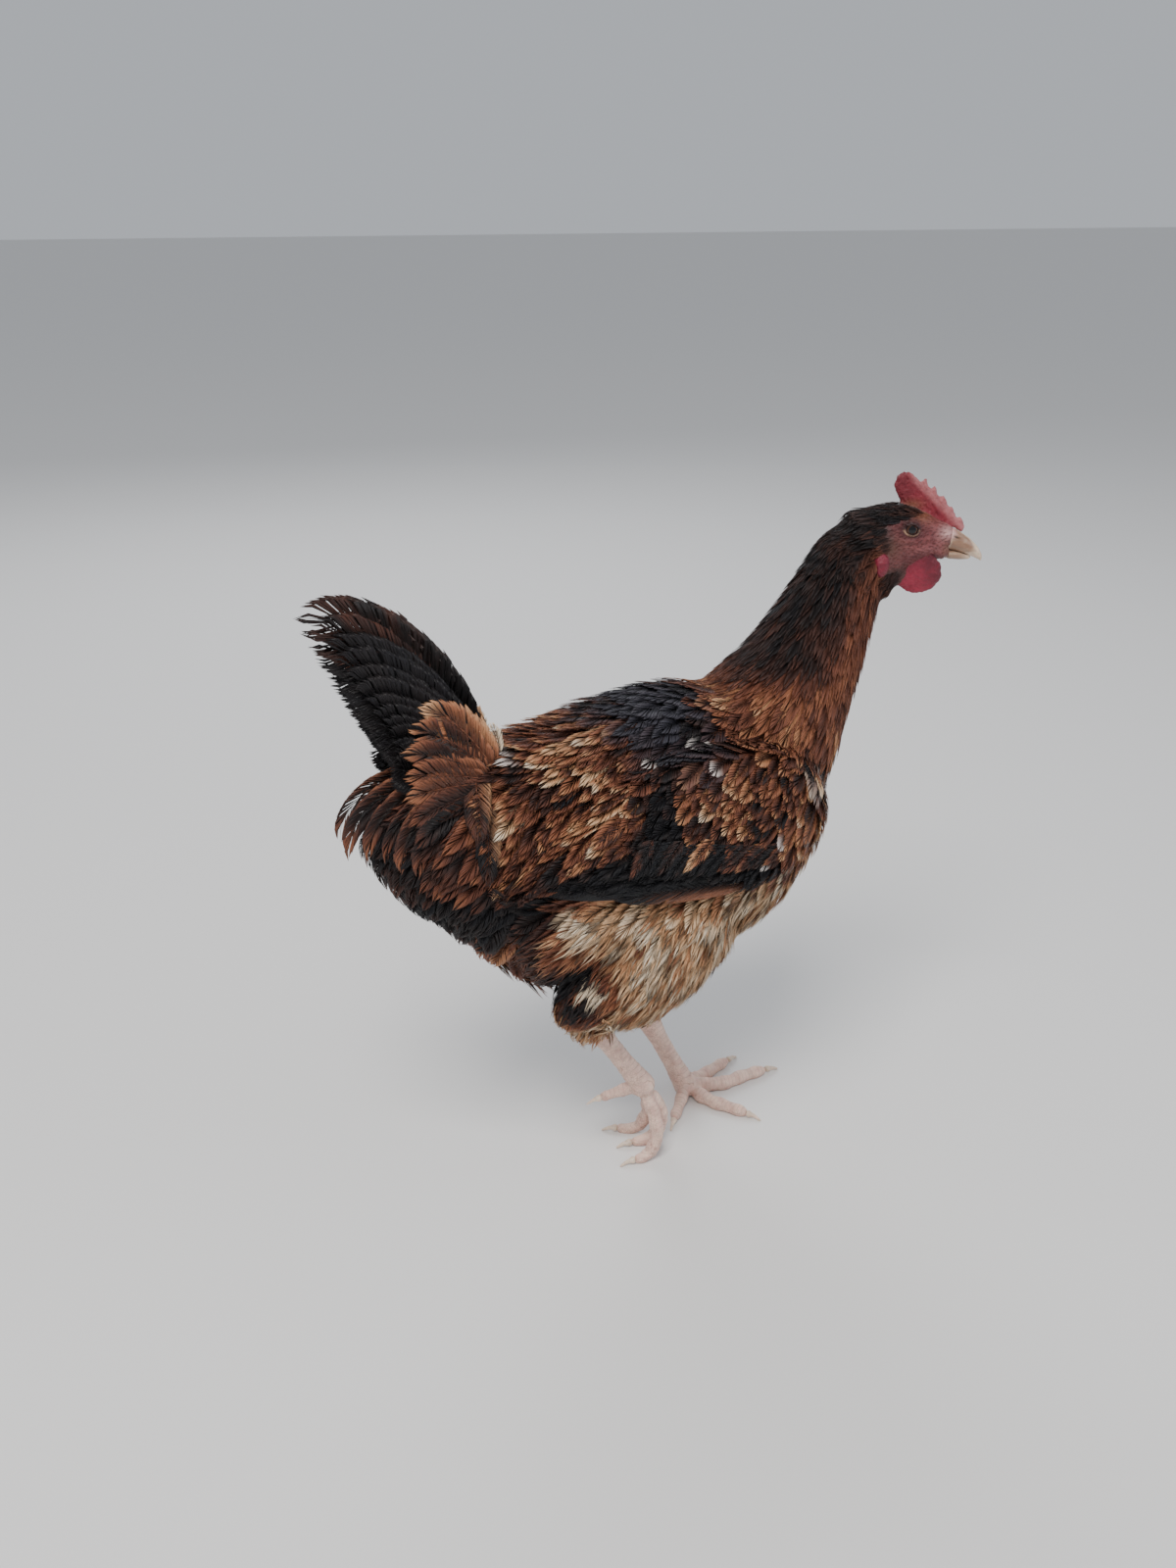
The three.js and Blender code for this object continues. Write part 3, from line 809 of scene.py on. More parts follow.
def comb_colours(h):
    """Colour of the comb: deep red, darker towards the back, with a painted highlight in pale pink along
    its front edge, paler at its front end and brown at its foot.
    """
    ahead, up = h[:, 0], h[:, 2]
    red = user_colour("comb")
    comb = lerp(red * 0.75, red, step(24, 34, ahead)[:, None])
    # painted highlight: pale pink along the comb's front edge
    front = step(-5.5, -1, (up - 399) + 0.92 * (ahead - 24) - 2.0) * step(24, 30, ahead)
    comb = blend(comb, COMB_PINK, 0.6 * front)
    comb = blend(comb, COMB_PINK, 0.35 * step(46, 58, ahead))
    return blend(comb, BROW_BROWN, 0.75 * side_blob(h, (29, 381), (6, 3)))


def face_colours(places, h, patches):
    """Colour of the head's bare skin."""
    ahead, up = h[:, 0], h[:, 2]
    red = user_colour("face")
    face = lerp(red, FACE_PALE, (patches**1.3)[:, None])
    spots = [  # colour, strength and where: brow, ear, throat, nape, cere, mouth's corner, cheek, temple
        (BROW_BROWN, 0.9, side_blob(h, (34, 377), (9, 4.5))),
        (EAR_BUFF, 0.85, side_blob(h, (13, 361), (9, 8))),
        (EAR_BUFF * 0.6, 0.7, step(354, 346, up) * step(34, 26, ahead)),
        (EAR_BUFF * 0.5, 0.6, step(14, 6, ahead)),
        (CERE_PINK, 0.8, side_blob(h, (49, 366.5), (5.5, 3.6))),
        (HORN_BROWN * 0.8, 0.75, side_blob(h, (49, 357.5), (3.2, 3.4))),
        (COMB_PINK * 0.8, 0.35, side_blob(h, (40, 358), (9, 3))),
        (red * 0.5, 0.5, side_blob(h, (17, 370), (7, 5))),
    ]
    for colour, strength, where in spots:
        face = blend(face, colour, strength * where)
    # round each eye: darker skin, a painted shadow under the upper lid, the pale lower lid and a dark
    # edge at the opening
    for side in SIDES:
        offset, ring = round_the_eye(places, side)
        below = step(0.6, -0.8, offset[:, 2])
        face = blend(face, red * 0.4, 0.75 * step(3.0, 1.5, ring))
        # painted shadow under the upper lid
        face = blend(face, red * 0.15, 0.8 * (1 - below) * step(1.9, 1.35, ring))
        face = blend(face, LID_PALE, 0.9 * below * bump_at(ring, 1.34, 0.15))
        face = blend(face, SOOT, 0.95 * step(1.18, 1.06, ring))
    return face


def select_faces(mesh, wanted):
    """Selects a mesh's faces by a yes or no for each."""
    mesh.vertices.foreach_set("select", np.zeros(len(mesh.vertices), bool))
    mesh.edges.foreach_set("select", np.zeros(len(mesh.edges), bool))
    mesh.polygons.foreach_set("select", wanted)


def face_middles(mesh):
    """Centre of every face."""
    out = np.empty(len(mesh.polygons) * 3, np.float32)
    mesh.polygons.foreach_get("center", out)
    return out.reshape(-1, 3).astype(float)


def edit_faces(piece, wanted, edit):
    """Runs an edit operator on the wanted faces."""
    pick_one(piece)
    select_faces(piece.data, wanted)
    bpy.context.tool_settings.mesh_select_mode = (False, False, True)
    bpy.ops.object.mode_set(mode="EDIT")
    edit()
    bpy.ops.object.mode_set(mode="OBJECT")


JOIN_SWELL = 0.0003  # metres the flesh swells so that its nodes join up
BODY_SMOOTHING = 0.6  # share of the way each round moves a vertex to its neighbours' middle
SMOOTHING = [(["head"], 0.5), (["comb"], 0.16), (LOBES, 0.4), (FOOT_NODES, 0.25)]


def smooth_shell(mesh):
    """Smooths the shell, its thin and detailed parts less."""
    number = nearest_node(places_of(mesh))
    share = np.full(len(number), BODY_SMOOTHING)
    for nodes, strength in SMOOTHING:
        share[is_on(number, *nodes)] = strength
    put_places(mesh, averaged(places_of(mesh), edges_of(mesh), rounds=14, share=share))


def grade_faces(skin, body_share):
    """Leaves few faces where feathers will hide them and makes them finer on the head."""
    detailed = HEAD_NODES + FOOT_NODES
    coarse = ~is_on(nearest_node(face_middles(skin.data)), *detailed)
    edit_faces(skin, coarse, lambda: bpy.ops.mesh.decimate(ratio=body_share))
    mesh = skin.data
    body = ~is_on(nearest_node(places_of(mesh)), *detailed)
    put_places(mesh, averaged(places_of(mesh), edges_of(mesh), rounds=8, share=0.5 * body))
    on_head = is_on(nearest_node(face_middles(mesh)), *HEAD_NODES)
    edit_faces(skin, on_head, lambda: bpy.ops.mesh.subdivide(number_cuts=1, smoothness=0.6))


class HEN_OT_skin(bpy.types.Operator):
    """One skin over head, comb, wattles, neck, trunk, wings, thighs, shanks and toes"""

    bl_idname = "hen.skin"
    bl_label = "Skin"

    def execute(self, context):
        sizes = context.scene.hen_sizes
        # one closed shell round all the flesh; the eyes are in it so that lids cover them
        skin = merged_copy("skin", [*FLESH, "eye_left", "eye_right"])
        apply_modifier(skin, "DISPLACE", strength=JOIN_SWELL, mid_level=0.0)
        apply_modifier(skin, "REMESH", mode="VOXEL", voxel_size=sizes.skin_grain)
        smooth_shell(skin.data)
        grade_faces(skin, sizes.body_share)
        # under the coat it lies deeper than the flesh
        mesh = skin.data
        places = places_of(mesh)
        edges = edges_of(mesh)
        number = nearest_node(places)
        depth = averaged(coat_depth(places, number), edges, rounds=6)
        normals = unit(averaged(normals_of(mesh), edges, rounds=3))
        places = shape_eye_sockets(places - normals * depth[:, None])
        put_places(mesh, places)
        # folds, wrinkles and scales stand on the bare parts
        normals = normals_of(mesh)
        places = places + normals * sculpted_height(places, normals, number)[:, None]
        put_places(mesh, places)
        write_colours(mesh, skin_colours(places, number))
        scutes = scute_share(normals, number)
        write_numbers(mesh, "rows", scale_rows(places, number))
        write_numbers(mesh, "scaly", scutes)
        write_numbers(mesh, "pebbly", is_on(number, *FOOT_NODES) - scutes)
        mesh.materials.append(skin_material())
        pick_one(skin)
        bpy.ops.object.shade_smooth()
        settle(skin, "face", *FLESH)
        return {"FINISHED"}


# ---------------------------------------------------------------- eyes, horn and claws
NOSTRIL = (54.5, 363.6)  # forward and up on the head
NOSTRIL_SIZE = (2.0, 0.55)  # millimetres, along and across the slit
NOSTRIL_AXIS = (0.92, -0.39)  # the way the slit runs, forward and up
BEAK_GRAIN = 0.00035  # metres, size of the faces of the horn
CLAW_GRAIN = 0.0004
PUPIL_EDGE = 0.3  # millimetres over which the pupil gives way to the iris
IRIS_EDGE = 0.6
EYE_SEGMENTS = 64


class HEN_OT_eyes(bpy.types.Operator):
    """Glossy eyeballs with a round pupil and a brown iris"""

    bl_idname = "hen.eyes"
    bl_label = "Eyes"

    def execute(self, context):
        sizes = context.scene.hen_sizes
        pupil, iris = sizes.pupil / MM, sizes.iris / MM
        gloss = {"Specular IOR Level": 0.25, "Coat Weight": 0.25, "Coat Roughness": 0.02}
        material, tree, shader = new_material("eyeball", roughness=0.08, sockets=gloss)
        threads = grain(tree, scale=1500.0, detail=4.0).outputs["Fac"]
        colour = shaded_by(tree, painted(tree), threads, dark=0.5, light=1.5)
        tree.links.new(colour, shader.inputs["Base Color"])
        for side, sign in SIDES.items():
            bpy.ops.mesh.primitive_uv_sphere_add(
                segments=EYE_SEGMENTS, ring_count=EYE_SEGMENTS, radius=EYE_RADIUS
            )
            eye = context.object
            eye.name = f"eyeball_{side}"
            out = HEAD_SIDE * sign
            eye.location = EYE_CENTRES[side]
            eye.rotation_euler = Vector(out).to_track_quat("Z", "Y").to_euler()
            bpy.ops.object.transform_apply(location=True, rotation=True, scale=True)
            bpy.ops.object.shade_smooth()
            d = (places_of(eye.data) - EYE_CENTRES[side]) / MM
            reach = size_of(np.cross(d, out))
            brown = step(pupil, pupil + PUPIL_EDGE, reach) * step(iris, iris - IRIS_EDGE, reach)
            write_colours(eye.data, lerp(BLACK, user_colour("iris"), brown[:, None]))
            eye.data.materials.append(material)
            settle(eye, "eye", f"eye_{side}")
        return {"FINISHED"}


def horn_piece(name, nodes, grain_size, colours_of, height_of):
    """A smoothed copy of CAD nodes in horn, raised by a height in millimetres."""
    piece = merged_copy(name, nodes)
    apply_modifier(piece, "REMESH", mode="VOXEL", voxel_size=grain_size)
    mesh = piece.data
    places = averaged(places_of(mesh), edges_of(mesh), rounds=5, share=0.5)
    put_places(mesh, places)
    places = places + normals_of(mesh) * (height_of(places) * MM)[:, None]
    put_places(mesh, places)
    write_colours(mesh, colours_of(places))
    sockets = {"Subsurface Weight": 0.08, "Subsurface Scale": 0.001, "Coat Weight": 0.15}
    material, tree, shader = new_material(name, roughness=0.38, sockets=sockets)
    lines = grain(tree, scale=600.0, detail=4.0).outputs["Fac"]
    colour = shaded_by(tree, painted(tree), lines, dark=0.75, light=1.25)
    tree.links.new(colour, shader.inputs["Base Color"])
    roughened(tree, shader, lines, distance=0.0002, strength=0.25)
    mesh.materials.clear()
    mesh.materials.append(material)
    pick_one(piece)
    bpy.ops.object.shade_smooth()
    settle(piece, "horn", *nodes)


def nostril_at(h):
    """1 along the slit of a nostril."""
    ahead, up = h[:, 0] - NOSTRIL[0], h[:, 2] - NOSTRIL[1]
    along = ahead * NOSTRIL_AXIS[0] + up * NOSTRIL_AXIS[1]
    across = up * NOSTRIL_AXIS[0] - ahead * NOSTRIL_AXIS[1]
    slit = blob(np.stack([along, across], -1), (0, 0), NOSTRIL_SIZE)
    return slit * step(0.6, 1.4, np.abs(h[:, 1]))


def beak_height(places):
    """Height of the horn's faint ridges, its nostrils' dents and the lower beak's narrowing base."""
    h = in_head(places)
    base = step(53, 49, h[:, 0]) * step(357.5, 355.5, h[:, 2])
    return 0.08 * (noise(h, 1.2, 5) - 0.5) - 0.9 * nostril_at(h) - 0.8 * base


def beak_colours(places):
    """Cream along the ridge, the edge and the tip, brown on the sides, pink at the base, with brown
    painted shade under the lower beak.
    """
    h = in_head(places)
    ahead, up = h[:, 0], h[:, 2]
    colours = user_colour("beak") * (0.9 + 0.2 * noise(h, 2.0, 6))[:, None]
    sides = step(0.8, 2.6, np.abs(h[:, 1]))
    ridge = 373.5 - 0.30 * (ahead - 52) - 0.045 * (ahead - 52) ** 2
    below_ridge = step(1.5, 5.0, ridge - up)
    along = step(49, 53, ahead) * step(70, 62, ahead) * step(353.5, 356.5, up)
    streaks = 0.65 + 0.7 * noise(h * (0.35, 1, 1.6), 1.4, 16)
    cere = step(57, 51, ahead - 0.3 * (up - 366)) * step(361.5, 365, up)
    spots = [  # colour and share: sides, cere, painted shade on the lower beak's underside and its edge, its base, nostrils
        (HORN_BROWN, np.clip(sides * below_ridge * along * streaks, 0, 0.95)),
        (CERE_PINK, 0.85 * cere),
        # painted shade: the lower beak darkened brown below
        (HORN_BROWN * 0.8, 0.7 * step(354.8, 353.2, up) * step(64, 56, ahead)),
        (HORN_BROWN, 0.45 * step(356.5, 355.5, up) * step(66, 58, ahead)),
        (user_colour("face"), 0.9 * step(51.5, 49.0, ahead) * step(357, 355.5, up)),
        (SOOT, 0.95 * nostril_at(h)),
    ]
    for colour, share in spots:
        colours = blend(colours, colour, share)
    return colours


class HEN_OT_beak(bpy.types.Operator):
    """Upper and lower beak"""

    bl_idname = "hen.beak"
    bl_label = "Beak"

    def execute(self, context):
        horn_piece("beak_top", ["beak_upper"], BEAK_GRAIN, beak_colours, beak_height)
        horn_piece("beak_bottom", ["beak_lower"], BEAK_GRAIN, beak_colours, beak_height)
        return {"FINISHED"}


def claw_colours(places):
    """Pale horn, browner here and there."""
    return lerp(user_colour("claw"), HORN_BROWN, 0.02 + 0.35 * noise(places / MM, 3.0, 15)[:, None])


def claw_height(places):
    """How far the horn swells where it leaves the toe, in millimetres."""
    under, _ = the_ground().nearest(places)
    return 0.15 + 0.75 * step(4.0, 0.5, size_of(places - under) / MM)


class HEN_OT_claws(bpy.types.Operator):
    """Claws of both feet"""

    bl_idname = "hen.claws"
    bl_label = "Claws"

    def execute(self, context):
        horn_piece("claws", CLAWS, CLAW_GRAIN, claw_colours, claw_height)
        return {"FINISHED"}


# ---------------------------------------------------------------- how the coat lies
# Forward, out to the side and up, with the way the feathers point there.
LIE = np.array(
    [
        (80, 0, 375, -0.75, 0, -0.66),
        (60, 0, 330, -0.55, 0, -0.83),
        (35, 0, 290, -0.80, 0, -0.60),
        (85, 22, 350, -0.25, 0.10, -0.95),
        (75, 28, 300, -0.30, 0.20, -0.93),
        (55, 38, 265, -0.60, 0.30, -0.75),
        (108, 0, 330, -0.10, 0, -1),
        (106, 0, 280, 0, 0, -1),
        (85, 20, 240, -0.30, 0.20, -0.93),
        (20, 0, 290, -1, 0, 0.05),
        (-40, 0, 292, -1, 0, 0),
        (-90, 0, 285, -1, 0, -0.2),
        (-40, 35, 275, -0.80, 0.25, -0.5),
        (-80, 40, 262, -0.70, 0.20, -0.7),
        (-100, 35, 240, -0.55, 0.10, -0.85),
        (30, 55, 245, -0.80, 0, -0.6),
        (0, 60, 235, -0.85, 0, -0.5),
        (-50, 60, 225, -0.95, 0, -0.25),
        (-100, 55, 215, -1, 0, -0.1),
        (75, 0, 215, -0.35, 0, -0.93),
        (70, 30, 200, -0.60, 0.10, -0.75),
        (50, 0, 170, -0.75, 0, -0.6),
        (20, 50, 170, -0.70, 0, -0.7),
        (-30, 50, 160, -0.60, 0, -0.8),
        (0, 0, 125, -1, 0, -0.2),
        (-50, 0, 130, -1, 0, 0),
        (-30, 60, 160, -0.45, 0, -0.9),
        (-60, 55, 130, -0.60, 0, -0.8),
        (-80, 40, 112, -0.50, -0.20, -0.85),
        (-130, 40, 230, -0.60, 0, -0.8),
        (-150, 30, 200, -0.30, 0, -0.95),
        (-160, 0, 190, 0, 0, -1),
        (-120, 20, 150, -0.40, 0, -0.9),
        (-120, 10, 270, -0.80, 0, 0.3),
    ]
)
LIE_REACH = 18.0  # millimetres over which one entry gives way to the next
OUTSIDE = 0.2  # metres sideways, clear of the bird
FLANK = 0.05  # metres sideways, near its side
TRIES = 3.2  # places tried for each that a full strewing needs


def lie_at(places, number):
    """The way feathers point at places on the skin."""
    p = in_body(places)
    side = np.where(p[:, 1] < 0, -1.0, 1.0)
    p[:, 1] = np.abs(p[:, 1])
    squared = ((p[:, None, :] - LIE[None, :, :3]) ** 2).sum(-1)
    weights = 1 / (squared + LIE_REACH**2) ** 2
    aims = unit(weights @ LIE[:, 3:])
    aims[:, 1] *= side
    backward = unit(-HEAD_FORWARD - 0.35 * UP)
    return np.where(is_on(number, *HEAD_NODES)[:, None], backward, aims)


class Ground:
    """The skin's surface, for feathers to stand on."""

    def __init__(self, piece):
        mesh = piece.data
        self.places = places_of(mesh)
        self.faces = [tuple(p.vertices) for p in mesh.polygons]
        self.tree = BVHTree.FromPolygons(self.places.tolist(), self.faces)
        smooth = unit(averaged(normals_of(mesh), edges_of(mesh), rounds=4))
        self.outs = unit(np.array([smooth[list(face)].mean(0) for face in self.faces]))
        self.middles = face_middles(mesh)
        self.owners = nearest_node(self.middles)
        self.areas = np.array([p.area for p in mesh.polygons])

    def nearest(self, points):
        """Nearest places on the skin and the way out there."""
        found = [self.tree.find_nearest(p) for p in points.tolist()]
        place = np.array([f[0][:] for f in found])
        return place, self.outs[[f[2] for f in found]]

    def beside(self, points, side):
        """Places on the skin met when coming from the side towards points."""
        hits = []
        for x, _, z in points:
            hit = self.tree.ray_cast((x, side * OUTSIDE, z), (0, -side, 0))[0]
            if hit is None:
                hit = self.tree.find_nearest((x, side * FLANK, z))[0]
            hits.append(hit[:])
        return np.array(hits)


def strewn(ground, wanted, spacing, rng):
    """Places on the wanted faces, no two closer than the spacing in metres."""
    faces = np.flatnonzero(wanted)
    if not len(faces):
        return np.empty((0, 3))
    areas = ground.areas[faces]
    tries = int(TRIES * areas.sum() / spacing**2) + 1
    chosen = rng.choice(faces, tries, p=areas / areas.sum())
    shares = rng.random((tries, 2))
    shares = np.where((shares.sum(1) > 1)[:, None], 1 - shares, shares)
    corners = np.array([ground.faces[f][:3] for f in chosen])
    a, b, c = (ground.places[corners[:, i]] for i in range(3))
    places = a + (b - a) * shares[:, :1] + (c - a) * shares[:, 1:]
    taken, kept = {}, []
    for place, cell in zip(places.tolist(), np.floor(places / spacing).astype(int).tolist()):
        if all(far_enough(place, taken.get(near, ()), spacing) for near in cells_round(cell)):
            taken.setdefault(tuple(cell), []).append(place)
            kept.append(place)
    return np.array(kept)


def cells_round(cell):
    """A cell of a grid and the 26 that touch it."""
    x, y, z = cell
    for dx in (0, -1, 1):
        for dy in (0, -1, 1):
            for dz in (0, -1, 1):
                yield (x + dx, y + dy, z + dz)


def far_enough(place, others, spacing):
    """Whether a place keeps its distance from the others."""
    return all(math.dist(place, other) >= spacing for other in others)


# ---------------------------------------------------------------- one feather
class Kind(NamedTuple):
    """How one kind of feather looks and lies; lengths in millimetres."""

    length: float
    width: float  # from the shaft to the edge
    spacing: float = 5.0
    pairs: int = 10  # tufts of barbs on each side
    point: float = 0.3  # 0 for a round end, 1 for a sharp one
    cling: float = 0.5  # 0 lies straight, 1 hugs the skin
    lift: float = 5.0  # of the end over the skin
    base: float = 0.0  # of the root over the skin
    loose: float = 0.2  # disorder of the barbs
    speckle: float = 0.05  # patches within a feather
    shaft: float = 0.0  # half width of the quill
    reach: float = 0.30  # how far forward each barb runs, as a share of the length
    full: float = 1.45  # width of each tuft against the room it has


VARIANTS = 7  # different tables of tufts for feathers of one kind
# A tuft's corners: its root, its two sides, the top of its ridge and its tip.
TUFT_FACES = np.array([(0, 2, 3), (2, 4, 3), (4, 1, 3), (1, 0, 3), (0, 1, 2), (1, 4, 2)])
PATH_NODES = 7  # along a feather that lies on the skin
UPRIGHT_NODES = 12  # along a feather that stands free
SEEN_NODE = 4  # the part of a feather its neighbours leave in sight
WIDEST = 0.3  # share of the length at which a vane is widest
TUFT_WIDTHS = (0.09, 2.4)  # the narrowest and widest half of a tuft, in millimetres
QUILL_PARTS = 9
VANE_ARCH = 0.22  # how far the rim hangs, as a share of the half width


def vane_width(t, point):
    """Width of a feather at a share of its length, 1 at the widest."""
    swell = np.clip(t / WIDEST, 0, 1) ** 0.7
    fall = np.clip((t - WIDEST) / (1 - WIDEST), 0, 1)
    return swell * (1 - fall ** lerp(3.0, 1.2, point)) ** lerp(0.5, 0.9, point)


def tufts(kind, rng):
    """One feather's tufts: along, across and height of five corners each, in millimetres."""
    count = kind.pairs
    order = np.tile(np.arange(count) / max(count - 1, 1), 2)
    side = np.repeat((1.0, -1.0), count)
    wild = rng.normal(0, 1, (5, 2 * count))
    # each barb runs outward and forward from the shaft to the vane's edge
    start = np.clip(order * (1 - kind.reach) + 0.01 * wild[0], 0, 1)
    end = start + kind.reach * (1 + 0.05 * wild[1] + 0.35 * kind.loose * wild[2])
    end = np.minimum(end, 1.03)
    uneven = 1 + (0.02 + 0.3 * kind.loose) * wild[3]
    across = side * vane_width(np.clip(end, 0, 1), kind.point) * uneven
    root = np.stack([start * kind.length, 0 * start], -1)
    tip = np.stack([end * kind.length, across * kind.width], -1)
    run = tip - root
    size = np.linalg.norm(run, axis=-1, keepdims=True)
    sideways = np.stack([-run[:, 1], run[:, 0]], -1) / np.maximum(size, 1e-6)
    bow = 0.08 * side[:, None] * size * sideways
    middle = root + lerp(0.84, 0.52, min(2.5 * kind.loose, 1.0)) * run + bow
    # tufts overlap in a firm vane and stand apart in a loose one
    slope = np.abs(run[:, 1]) / np.maximum(size[:, 0], 1e-6)
    gap = kind.length * (1 - kind.reach) / count
    half = np.clip(kind.full * gap * np.maximum(slope, 0.35), *TUFT_WIDTHS)[:, None]
    half = np.minimum(half * (1 - 0.45 * kind.loose), 0.5 * kind.width)
    tip_height = kind.loose * np.abs(wild[4]) * 1.6
    thick = np.minimum(lerp(0.12, 0.22, kind.loose), lerp(0.3, 0.5, kind.loose) * half[:, 0])
    corners = [
        np.column_stack([root, 0 * start]),
        np.column_stack([middle + sideways * half, 0.3 * tip_height]),
        np.column_stack([middle - sideways * half, 0.3 * tip_height]),
        np.column_stack([middle, 0.3 * tip_height + thick]),
        np.column_stack([tip, tip_height]),
    ]
    table = np.stack(corners, 1)
    return np.concatenate([table, quill(kind)]) if kind.shaft else table


def quill(kind):
    """A feather's shaft as a row of overlapping slivers."""
    rows = []
    for start in np.arange(QUILL_PARTS) / QUILL_PARTS * 0.94:
        half = kind.shaft * (1 - 0.8 * start)
        a, b = start * kind.length, (start + 1.5 / QUILL_PARTS) * kind.length
        mid = (a + b) / 2
        ridge = 0.25 + half
        rows.append([(a, 0, 0.1), (mid, half, 0.1), (mid, -half, 0.1), (mid, 0, ridge), (b, 0, 0.15)])
    return np.array(rows)


def laid(ground, roots, aims, lengths, kind):
    """Paths of feathers over the skin: the places of each one's nodes and the ways out there."""
    roots, outs = ground.nearest(roots)
    lengths = np.broadcast_to(lengths, (len(roots),))[:, None] * MM
    place = roots + outs * (kind.base * MM)
    heading = unit(aims - outs * (aims * outs).sum(-1, keepdims=True))
    paths, ways = [place], [outs]
    for i in range(1, PATH_NODES):
        t = i / (PATH_NODES - 1)
        ahead = place + heading * lengths / (PATH_NODES - 1)
        under, below = ground.nearest(ahead)
        height = ((ahead - under) * below).sum(-1, keepdims=True)
        wanted = lerp(kind.base, kind.lift, t**0.8) * MM
        share = np.where(height > wanted, kind.cling, 1.0)
        target = ahead + below * (wanted - height) * share
        outs = unit(lerp(outs, below, np.maximum(share, 0.3) * 0.7))
        heading = unit(target - place)
        place = target
        paths.append(place)
        ways.append(outs)
    return np.stack(paths, 1), np.stack(ways, 1)


def feather_corners(table, kind, paths, outs, widths):
    """World places of every corner of every tuft of some feathers that share a table of tufts."""
    along = unit(np.gradient(paths, axis=1))
    across = unit(np.cross(outs, along))
    outs = np.cross(along, across)
    t = table[..., 0] / kind.length * (paths.shape[1] - 1)
    cell = np.clip(t.astype(int), 0, paths.shape[1] - 2)
    share = (t - cell)[None, ..., None]

    def at(values):
        return values[:, cell] * (1 - share) + values[:, cell + 1] * share

    u = table[..., 1] / kind.width
    half = widths[:, None, None] * MM
    height = table[..., 2][None] * MM - VANE_ARCH * (u**2)[None] * half
    return at(paths) + at(across) * (u[None] * half)[..., None] + at(outs) * height[..., None]


def feather_tones(kind, table, tones, rims, places):
    """Tone at every corner: the feather's own, lighter towards its rim and changed in patches."""
    t = np.clip(table[..., 0] / kind.length, 0, 1)
    u = np.abs(table[..., 1]) / kind.width
    rim = step(0.45, 0.95, np.maximum(0.85 * u, t**2))[None]
    spots = noise(places / MM, 4.0, 21) - 0.5
    return tones[:, None, None] + rims[:, None, None] * (rim - 0.2) + kind.speckle * 2.2 * spots


# ---------------------------------------------------------------- gathering feathers into pieces
UV_REGIONS = {  # left, low, width and height on the unwrap
    "trunk": (0.0, 0.0, 0.62, 1.0),
    "neck": (0.64, 0.5, 0.34, 0.5),
    "legs": (0.64, 0.0, 0.34, 0.46),
}
TUFT_PATCH = 0.0012
TRUNK_RUN = (-220, 340)  # where a region's long axis starts, and its length
NECK_RUN = (220, 200)
LEG_RUN = (0, 200)
TRUNK_AXIS_UP = 215
NECK_LEAN = 0.21  # forward for each millimetre up
LEG_AXIS_OUT = 25


def root_patch(places, region):
    """Where roots lie on a flat unwrap of the body, wound round the long axis of their region."""
    p = in_body(places)
    x, y, z = p.T
    if region == "trunk":
        turn = np.arctan2(y, z - TRUNK_AXIS_UP) / (2 * np.pi) + 0.5
        along, (start, length) = x, TRUNK_RUN
    elif region == "neck":
        centre = NECK_FOOT[0] + (z - NECK_FOOT[1]) * NECK_LEAN
        turn = np.arctan2(y, x - centre) / (2 * np.pi) + 0.5
        along, (start, length) = z, NECK_RUN
    else:
        turn = np.arctan2(y - np.sign(y) * LEG_AXIS_OUT, x) / (2 * np.pi) + 0.5
        turn = turn / 2 + (y > 0) * 0.5
        along, (start, length) = z, LEG_RUN
    run = (along - start) / length
    left, low, wide, tall = UV_REGIONS[region]
    return np.stack([left + wide * np.clip(turn, 0, 1), low + tall * np.clip(run, 0, 1)], -1)


AIM_SPREAD = (0.05, 0.16)  # of all feathers, and more for loose ones
LENGTH_SPREAD = 0.10
WIDTH_SPREAD = 0.08
TONE_SPREAD = (0.02, 0.45)  # of all feathers, and as a share of the mottle
RIM_RANGE = (0.2, 1.6)
BARB_PITCH = 7.3  # how far apart the streaks of neighbouring tufts are
TUFT_BARBS = np.array((0, -1.2, 1.2, 0, 0))  # the streaks' places at a tuft's corners
BARB_SPAN = 500  # over which feathers start their streaks


